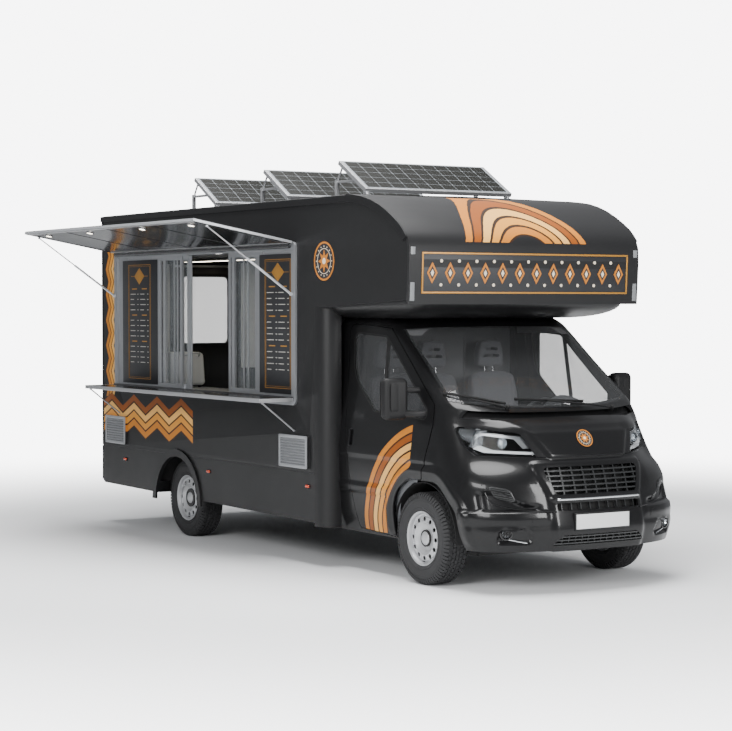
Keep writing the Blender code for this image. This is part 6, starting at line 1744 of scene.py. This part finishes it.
def buildSeat(low, high, heads, seams):
    plinth = boxMesh((-1.02, low + 0.05, 0.547), (-0.56, high - 0.05, 0.795), 0.012)
    low, high = low + 0.006, high - 0.006
    cushion = cushionMesh((-1.02, low, 0.802), (-0.492, high, 0.925), (0.004, 0.004, 0.016))
    back = cushionMesh((-1.035, low, 0.875), (-0.925, high, 1.655), (0.014, 0.003, 0.006), pull=0.14)
    cushion, back = seamGrooves(cushion, seams, 0.010), seamGrooves(back, seams, 0.010)
    lean = Matrix.Rotation(math.atan(-0.14 / 0.72), 4, "Y") @ Matrix.Translation((0.98, 0, -0.90))
    back = moved(back, Matrix.Translation((-0.98, 0, 0.90)) @ lean)
    rests, stalks = [], []
    for middle in heads:
        restLow, restHigh = (-1.195, middle - 0.135, 1.690), (-1.105, middle + 0.135, 1.915)
        rest = cushionMesh(restLow, restHigh, (0.010, 0.002, 0.004), cuts=10, pull=0.12)
        for vertex in rest.vertices:
            rise = (vertex.co.z - 1.690) / 0.225
            vertex.co.y = middle + (vertex.co.y - middle) * (1.02 - 0.22 * max(0, rise) ** 2)
        for slotZ, slotHalf in ((1.785, 0.085), (1.845, 0.065)):
            slotLine = oblong((middle - slotHalf, slotZ - 0.014), (middle + slotHalf, slotZ + 0.014), 0.013)
            rest = carved(rest, plateMesh("YZ", [slotLine], -1.25, -1.05))
        rests.append(rest)
        for side in (-1, 1):
            stalks.append(
                barMesh((-1.14, middle + side * 0.045, 1.60), (-1.15, middle + side * 0.045, 1.71), 0.006, 14)
            )
    return plinth, cushion, back, rests, stalks


seatPlan = {
    "driver_seat": (0.22, 0.72, (0.47,), ((1, 0.30), (1, 0.64))),
    "passenger_bench": (
        -0.82, 0.10, (-0.58, -0.14), ((1, -0.72), (1, -0.44), (1, -0.36), (1, -0.28), (1, 0.0))
    ),
}
for name, (low, high, heads, seams) in seatPlan.items():
    plinth, cushion, back, rests, stalks = buildSeat(low, high, heads, seams)
    base = finishPiece(name + "_base", [(plinth, trimPlastic), (joined(*stalks), chrome)], slot="cab_trim")
    for ending, mesh in (("cushion", cushion), ("back", back), ("headrests", joined(*rests))):
        pad = finishPiece(name + "_" + ending, [(mesh, seatWeave)], slot="seat_cloth", sharp=60)
        if ending == "cushion":
            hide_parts(name)
print("cab inside made")

# kitchen inside: dark lining, a white splash panel, cupboards, worktop and a griddle with its lid
dressed("kitchen_units", 0.004, panelGrey, "stainless_steel")
wallY = 1.125
inside = [
    (boxMesh((-5.60, wallY - 0.006, 0.85), (-1.42, wallY, 2.75)), darkLaminate),
    (boxMesh((-1.430, -1.10, 0.85), (-1.420, 1.10, 2.70)), darkLaminate),
    (boxMesh((-5.60, -1.10, 0.8355), (-1.45, 1.10, 0.8405)), darkLaminate),
    (boxMesh((-5.60, -1.10, 2.700), (-1.45, 1.10, 2.706)), darkLaminate),
]
battens = joined(*[boxMesh((-5.20, y - 0.05, 2.672), (-1.90, y + 0.05, 2.699), 0.006) for y in (-0.45, 0.45)])
glow = joined(*[boxMesh((-5.17, y - 0.035, 2.669), (-1.93, y + 0.035, 2.673)) for y in (-0.45, 0.45)])
finishPiece("kitchen_lining", [*inside, (battens, aluminium), (glow, ledLight)], slot="grey_laminate")
panelPale = grained(newMaterial("pale_wall_laminate", "#B4B6B6", 0.45), 0.004, 0.00005)
unitFront, unitX = 0.512, (-5.30, -1.99)
fronts, knobs = [], []
for k in range(7):
    x = unitX[0] + 0.02 + k * 0.47
    fronts.append(boxMesh((x, unitFront + 0.006, 0.93), (x + 0.45, unitFront + 0.024, 1.68), 0.003))
    knobEnds = (x + 0.16, unitFront - 0.006, 1.62), (x + 0.29, unitFront - 0.006, 1.62)
    knobs.append(barMesh(*knobEnds, 0.006, 14, bevel=0.002))
# inner shelf behind the hatch with a bun toaster, and pale panels on the rear wall
hatchShelf = boxMesh((-5.32, -1.09, 1.405), (-1.75, -0.74, 1.430), 0.003)
toaster = boxMesh((-4.62, -1.04, 1.450), (-4.16, -0.76, 1.770), 0.035, 4)
for vertex in toaster.vertices:
    if vertex.co.z > 1.62:
        vertex.co.x -= max(0.0, vertex.co.x + 4.30) * (vertex.co.z - 1.62) * 2.4
feet = [barMesh((x, y, 1.429), (x, y, 1.452), 0.016, 16) for x in (-4.57, -4.22) for y in (-1.0, -0.8)]
grip = [(-4.20, -0.98, 1.735), (-4.13, -0.98, 1.765), (-4.13, -0.82, 1.765), (-4.20, -0.82, 1.735)]
toasterParts = [
    (toaster, panelPale), (joined(*feet), blackPlastic), (tubeMesh(grip, 0.010, sides=4), paleMetal)
]
rearPanels = joined(
    boxMesh((-5.650, -0.64, 1.74), (-5.640, -0.41, 2.66), 0.003),
    boxMesh((-5.650, 0.44, 1.56), (-5.640, 1.05, 2.68), 0.003),
)
rearRail = boxMesh((-5.648, -0.36, 2.63), (-5.636, 0.36, 2.655), 0.003)
worktop = boxMesh((unitX[0], unitFront - 0.004, 1.7355), (unitX[1], 1.118, 1.7385), 0.001)
splash = boxMesh((-4.02, wallY - 0.014, 1.80), (-3.02, wallY - 0.006, 2.52), 0.002)
splashRing = rectangle(-4.02, 1.80, -3.02, 2.52)
splashFrame = plateMesh("XZ", [splashRing, grown(splashRing, -0.030)], wallY - 0.024, wallY - 0.006, 0.002)
dialXs = [-4.60 + 0.12 * k for k in range(5)]
dials = [barMesh((x, 0.580, 1.80), (x, 0.602, 1.80), 0.018, 20, bevel=0.003) for x in dialXs]
lidEnds = [barMesh((x, 0.575, 1.935), (x, 0.63, 1.935), 0.007, 12) for x in (-4.56, -4.18)]
griddle = [
    (boxMesh((-4.72, 0.60, 1.739), (-4.02, 1.08, 1.905), 0.018, 3), stainless),
    (boxMesh((-4.70, 0.62, 1.905), (-4.04, 1.06, 1.985), 0.030, 4), panelGrey),
    (barMesh((-4.60, 0.575, 1.935), (-4.14, 0.575, 1.935), 0.011, 16, bevel=0.002), blackPlastic),
    (joined(*lidEnds), blackPlastic), (joined(*dials), blackPlastic),
]
shelf = boxMesh((-3.00, 0.86, 2.06), (-2.02, 1.11, 2.08), 0.003)
brackets = joined(*[boxMesh((x, 0.90, 1.94), (x + 0.012, 1.11, 2.06), 0.002) for x in (-2.95, -2.52, -2.08)])
fittings = [(joined(*fronts), stainless), (joined(*knobs), aluminium), (worktop, stainless)]
fittings += [(splash, whiteLaminate), (splashFrame, aluminium), *griddle, (hatchShelf, stainless)]
fittings += [
    *toasterParts, (rearPanels, panelPale), (rearRail, aluminium), (shelf, stainless), (brackets, stainless)
]
finishPiece("kitchen_fittings", fittings, slot="stainless_steel")
print("kitchen made")

# rear: door leaf, window, handle, lamps, plate and bumper step
rearX, doorX = truck["rear"], -5.691
frostedPane = newMaterial("frosted_glass", "#B9BCBE", 0.4, IOR=1.5, Alpha=0.66)
windowLow, windowHigh = (-0.26, 1.83), (0.30, 2.53)
windowInner = oblong(windowLow, windowHigh, 0.05)
windowHole = plateMesh("YZ", [windowInner], doorX - 0.1, doorX + 0.1)
doorSkin = carved(cadCopy("rear_door", 0.004), windowHole)
finishPiece(
    "rear_door_skin", [(doorSkin, gelCoat)], "rear_entry", slot="charcoal_body_paint", replaces="rear_door"
)
ringOuter = oblong((-0.29, 1.80), (0.33, 2.56), 0.06)
doorRing = joined(
    plateMesh("YZ", [ringOuter, windowInner], doorX - 0.010, doorX, 0.002),
    plateMesh("YZ", [ringOuter, windowInner], doorX + 0.038, doorX + 0.046, 0.002),
)
doorPane = plateMesh("YZ", [windowInner], doorX - 0.005, doorX - 0.001)
panelLines = [oblong((-0.30, 1.00), (0.30, 1.58), 0.03), oblong((-0.28, 1.02), (0.28, 1.56), 0.025)]
panelRing = plateMesh("YZ", panelLines, doorX - 0.004, doorX, 0.001)
handleBase = plateMesh("YZ", [oblong((-0.335, 1.52), (-0.285, 1.70), 0.015)], doorX - 0.010, doorX, 0.002)
gripLine = [
    (doorX - out, -0.31, z) for out, z in ((0.008, 1.67), (0.045, 1.67), (0.045, 1.55), (0.008, 1.55))
]
doorParts = [
    (doorRing, blackPlastic), (doorPane, frostedPane), (panelRing, gelCoat), (handleBase, blackPlastic)
]
doorParts.append((tubeMesh(gripLine, 0.007, sides=4), chrome))
finishPiece("rear_door_fittings", doorParts, "rear_entry", slot="black_plastic")
lampLenses = (
    (0.88, 0.98, redLens), (0.99, 1.08, whiteLaminate), (1.09, 1.18, amberLens), (1.19, 1.30, redLens)
)
rearParts = []
for side in (-1, 1):
    y = side * 1.02
    housing = plateMesh(
        "YZ", [oblong((y - 0.065, 0.86), (y + 0.065, 1.32), 0.03)], rearX - 0.018, rearX, 0.004, 2
    )
    rearParts.append((housing, blackPlastic))
    for low, high, material in lampLenses:
        outline = oblong((y - 0.052, low), (y + 0.052, high), 0.016)
        rearParts.append((plateMesh("YZ", [outline], rearX - 0.028, rearX - 0.016, 0.005, 2), material))
    marker = boxMesh((rearX - 0.016, side * 0.98 - 0.05, 2.98), (rearX, side * 0.98 + 0.05, 3.02), 0.005)
    rearParts.append((marker, redLens))
rearParts.append((boxMesh((rearX - 0.018, -0.17, 2.90), (rearX, 0.17, 2.935), 0.005), redLens))
rearParts.append((boxMesh((rearX - 0.006, 0.44, 0.93), (rearX, 0.86, 1.05), 0.002), plateWhite))
rearParts.append((boxMesh((rearX - 0.020, 0.58, 1.06), (rearX, 0.72, 1.085), 0.004), blackPlastic))
finishPiece("rear_lamps", rearParts, slot="clear_lamp")
treads = repeated(
    boxMesh((-5.720, -0.40, 0.7855), (-5.640, -0.392, 0.7885)), 41, step=(0, 0.02, 0), material=stainless
)
finishPiece("rear_step_treads", [(treads, stainless)], slot="brushed_aluminium")

# far side: framed window, gas locker, shore socket and water filler
farY = halfBox


def softened(line, radius):
    return rounded([(u, v, radius) for u, v in line])


farRing = rectangle(-3.99, 1.58, -3.01, 2.34)
farLines = [softened(farRing, 0.05), softened(grown(farRing, -0.045), 0.04)]
farFrame = plateMesh("XZ", farLines, farY, farY + 0.014, 0.003)
farPane = cadCopy("far_window", 0.001)
finishPiece(
    "far_window_set", [(farFrame, blackPlastic), (farPane, sideGlass)], slot="tinted_glass",
    replaces="far_window"
)
lockerRing = rectangle(-5.42, 0.86, -4.72, 1.42)
lockerLines = [softened(lockerRing, 0.03), softened(grown(lockerRing, -0.018), 0.025)]
locks = [barMesh((x, farY, 1.14), (x, farY + 0.014, 1.14), 0.016, 24, bevel=0.002) for x in (-5.34, -4.80)]
socket = plateMesh("XZ", [oblong((-2.36, 0.92), (-2.20, 1.10), 0.02)], farY, farY + 0.016, 0.004, 2)
farSide = [
    (plateMesh("XZ", lockerLines, farY, farY + 0.010, 0.002), frameGrey),
    (plateMesh("XZ", [softened(grown(lockerRing, -0.022), 0.025)], farY, farY + 0.006, 0.002), gelCoat),
    (joined(*locks), blackPlastic), (socket, blackPlastic),
    (barMesh((-1.85, farY, 1.0), (-1.85, farY + 0.016, 1.0), 0.055, 36, bevel=0.004), blackPlastic),
    (barMesh((-1.85, farY + 0.014, 1.0), (-1.85, farY + 0.020, 1.0), 0.018, 24, bevel=0.002), chrome)
]
lockerSlat = boxMesh((-5.30, farY + 0.004, 0.90), (-4.84, farY + 0.010, 0.908), 0.001)
slatRow = repeated(lockerSlat, 8, step=(0, 0, 0.016), material=panelGrey)
finishPiece("far_side_fittings", farSide + [(slatRow, panelGrey)], slot="black_plastic")

# small badge on the bonnet
place, normal = onSkin((2.0, 0.0, 1.18), (-1, 0, 0))
facing = Vector((0, -1, 0)).rotation_difference(normal).to_matrix().to_4x4()
facing = Matrix.Translation(place + normal * 0.002) @ facing
badge = movedParts(badgeParts(0.075, 0.0012), facing)
finishPiece("bonnet_badge", badge, "bonnet_lid", slot="black_cab_paint")
print("rear and far side made")


def addCamera():
    # the photograph's angle
    data = bpy.data.cameras.new("camera")
    data.sensor_width = 36
    data.lens = camera["focal"] / photo["width"] * data.sensor_width
    data.clip_end = 200
    holder = bpy.data.objects.new("camera", data)
    bpy.context.scene.collection.objects.link(holder)
    holder.rotation_euler = cameraTurn().to_euler()
    holder.location = Vector(camera["place"]) + shift
    bpy.context.scene.camera = holder


def addLight(name, place, aim, size, power, color="#FFFFFF"):
    data = bpy.data.lights.new(name, "AREA")
    data.shape = "RECTANGLE"
    data.size, data.size_y = size
    data.energy = power
    data.color = hexColor(color)[:3]
    holder = bpy.data.objects.new(name, data)
    bpy.context.scene.collection.objects.link(holder)
    holder.location = Vector(place) + shift
    holder.rotation_euler = (Vector(aim) - Vector(place)).to_track_quat("-Z", "Y").to_euler()


studio = {
    "backdrop": "#F6F6F7", "glow": 8.0, "room": 0.62,
    "floor": "#E4E5E6", "fade": (4.6, 12.5), "middle": (-2.4, 0.4, 0.0),
}


def floorPaint():
    # matt white paper that runs into the lit backdrop, so no horizon shows
    material = newMaterial("matt_white_studio_paper", studio["floor"], 0.95, Specular_IOR_Level=0.05)
    tree, shader = shaderOf(material)
    reach = addNode(
        tree, "ShaderNodeVectorMath", {0: truckPlace(tree), 1: studio["middle"]}, operation="DISTANCE"
    )
    fade = addNode(
        tree, "ShaderNodeMapRange", {0: reach.outputs["Value"], 1: studio["fade"][0], 2: studio["fade"][1]},
        interpolation_type="SMOOTHSTEP",
    )
    seen = math2(
        tree, "MULTIPLY", fade.outputs[0], addNode(tree, "ShaderNodeLightPath").outputs["Is Camera Ray"]
    )
    glow = addNode(
        tree, "ShaderNodeEmission", {"Color": hexColor(studio["backdrop"]), "Strength": studio["glow"]}
    )
    mix = addNode(tree, "ShaderNodeMixShader", {0: seen, 1: shader.outputs[0], 2: glow.outputs[0]})
    tree.links.new(mix.outputs[0], tree.nodes["Material Output"].inputs["Surface"])
    return material


def addStudio():
    floor = bpy.data.objects.new(
        "floor", gridMesh([[(-60, 60, 0), (60, 60, 0)], [(-60, -60, 0), (60, -60, 0)]])
    )
    floor.data.transform(Matrix.Translation(shift))
    floor.data.materials.append(floorPaint())
    bpy.context.scene.collection.objects.link(floor)
    world = bpy.data.worlds.new("studio")
    bpy.context.scene.world = world
    world.use_nodes = True
    tree = world.node_tree
    backdrop = tree.nodes["Background"]
    backdrop.inputs["Color"].default_value = hexColor(studio["backdrop"])
    backdrop.inputs["Strength"].default_value = studio["glow"]
    # what the paint mirrors is a greyer room than the backdrop that the camera sees
    room = addNode(tree, "ShaderNodeBackground", {"Color": hexColor("#C9CBCE"), "Strength": studio["room"]})
    ray = addNode(tree, "ShaderNodeLightPath")
    mix = addNode(
        tree, "ShaderNodeMixShader",
        {0: ray.outputs["Is Camera Ray"], 1: room.outputs[0], 2: backdrop.outputs[0]}
    )
    tree.links.new(mix.outputs[0], tree.nodes["World Output"].inputs["Surface"])
    addLight("top_softbox", (-2.0, -1.0, 8.5), (-2.0, 0, 0), (9.0, 5.0), 2300)
    addLight("key_softbox", (5.0, -9.0, 5.0), (-1.5, 0, 1.4), (5.0, 3.0), 900)
    addLight("nose_softbox", (10.0, 1.5, 4.0), (0.5, 0, 1.0), (2.5, 4.0), 800)


addCamera()
addStudio()
print("pieces", len(finishedCount), "faces", sum(count for name, count in finishedCount))
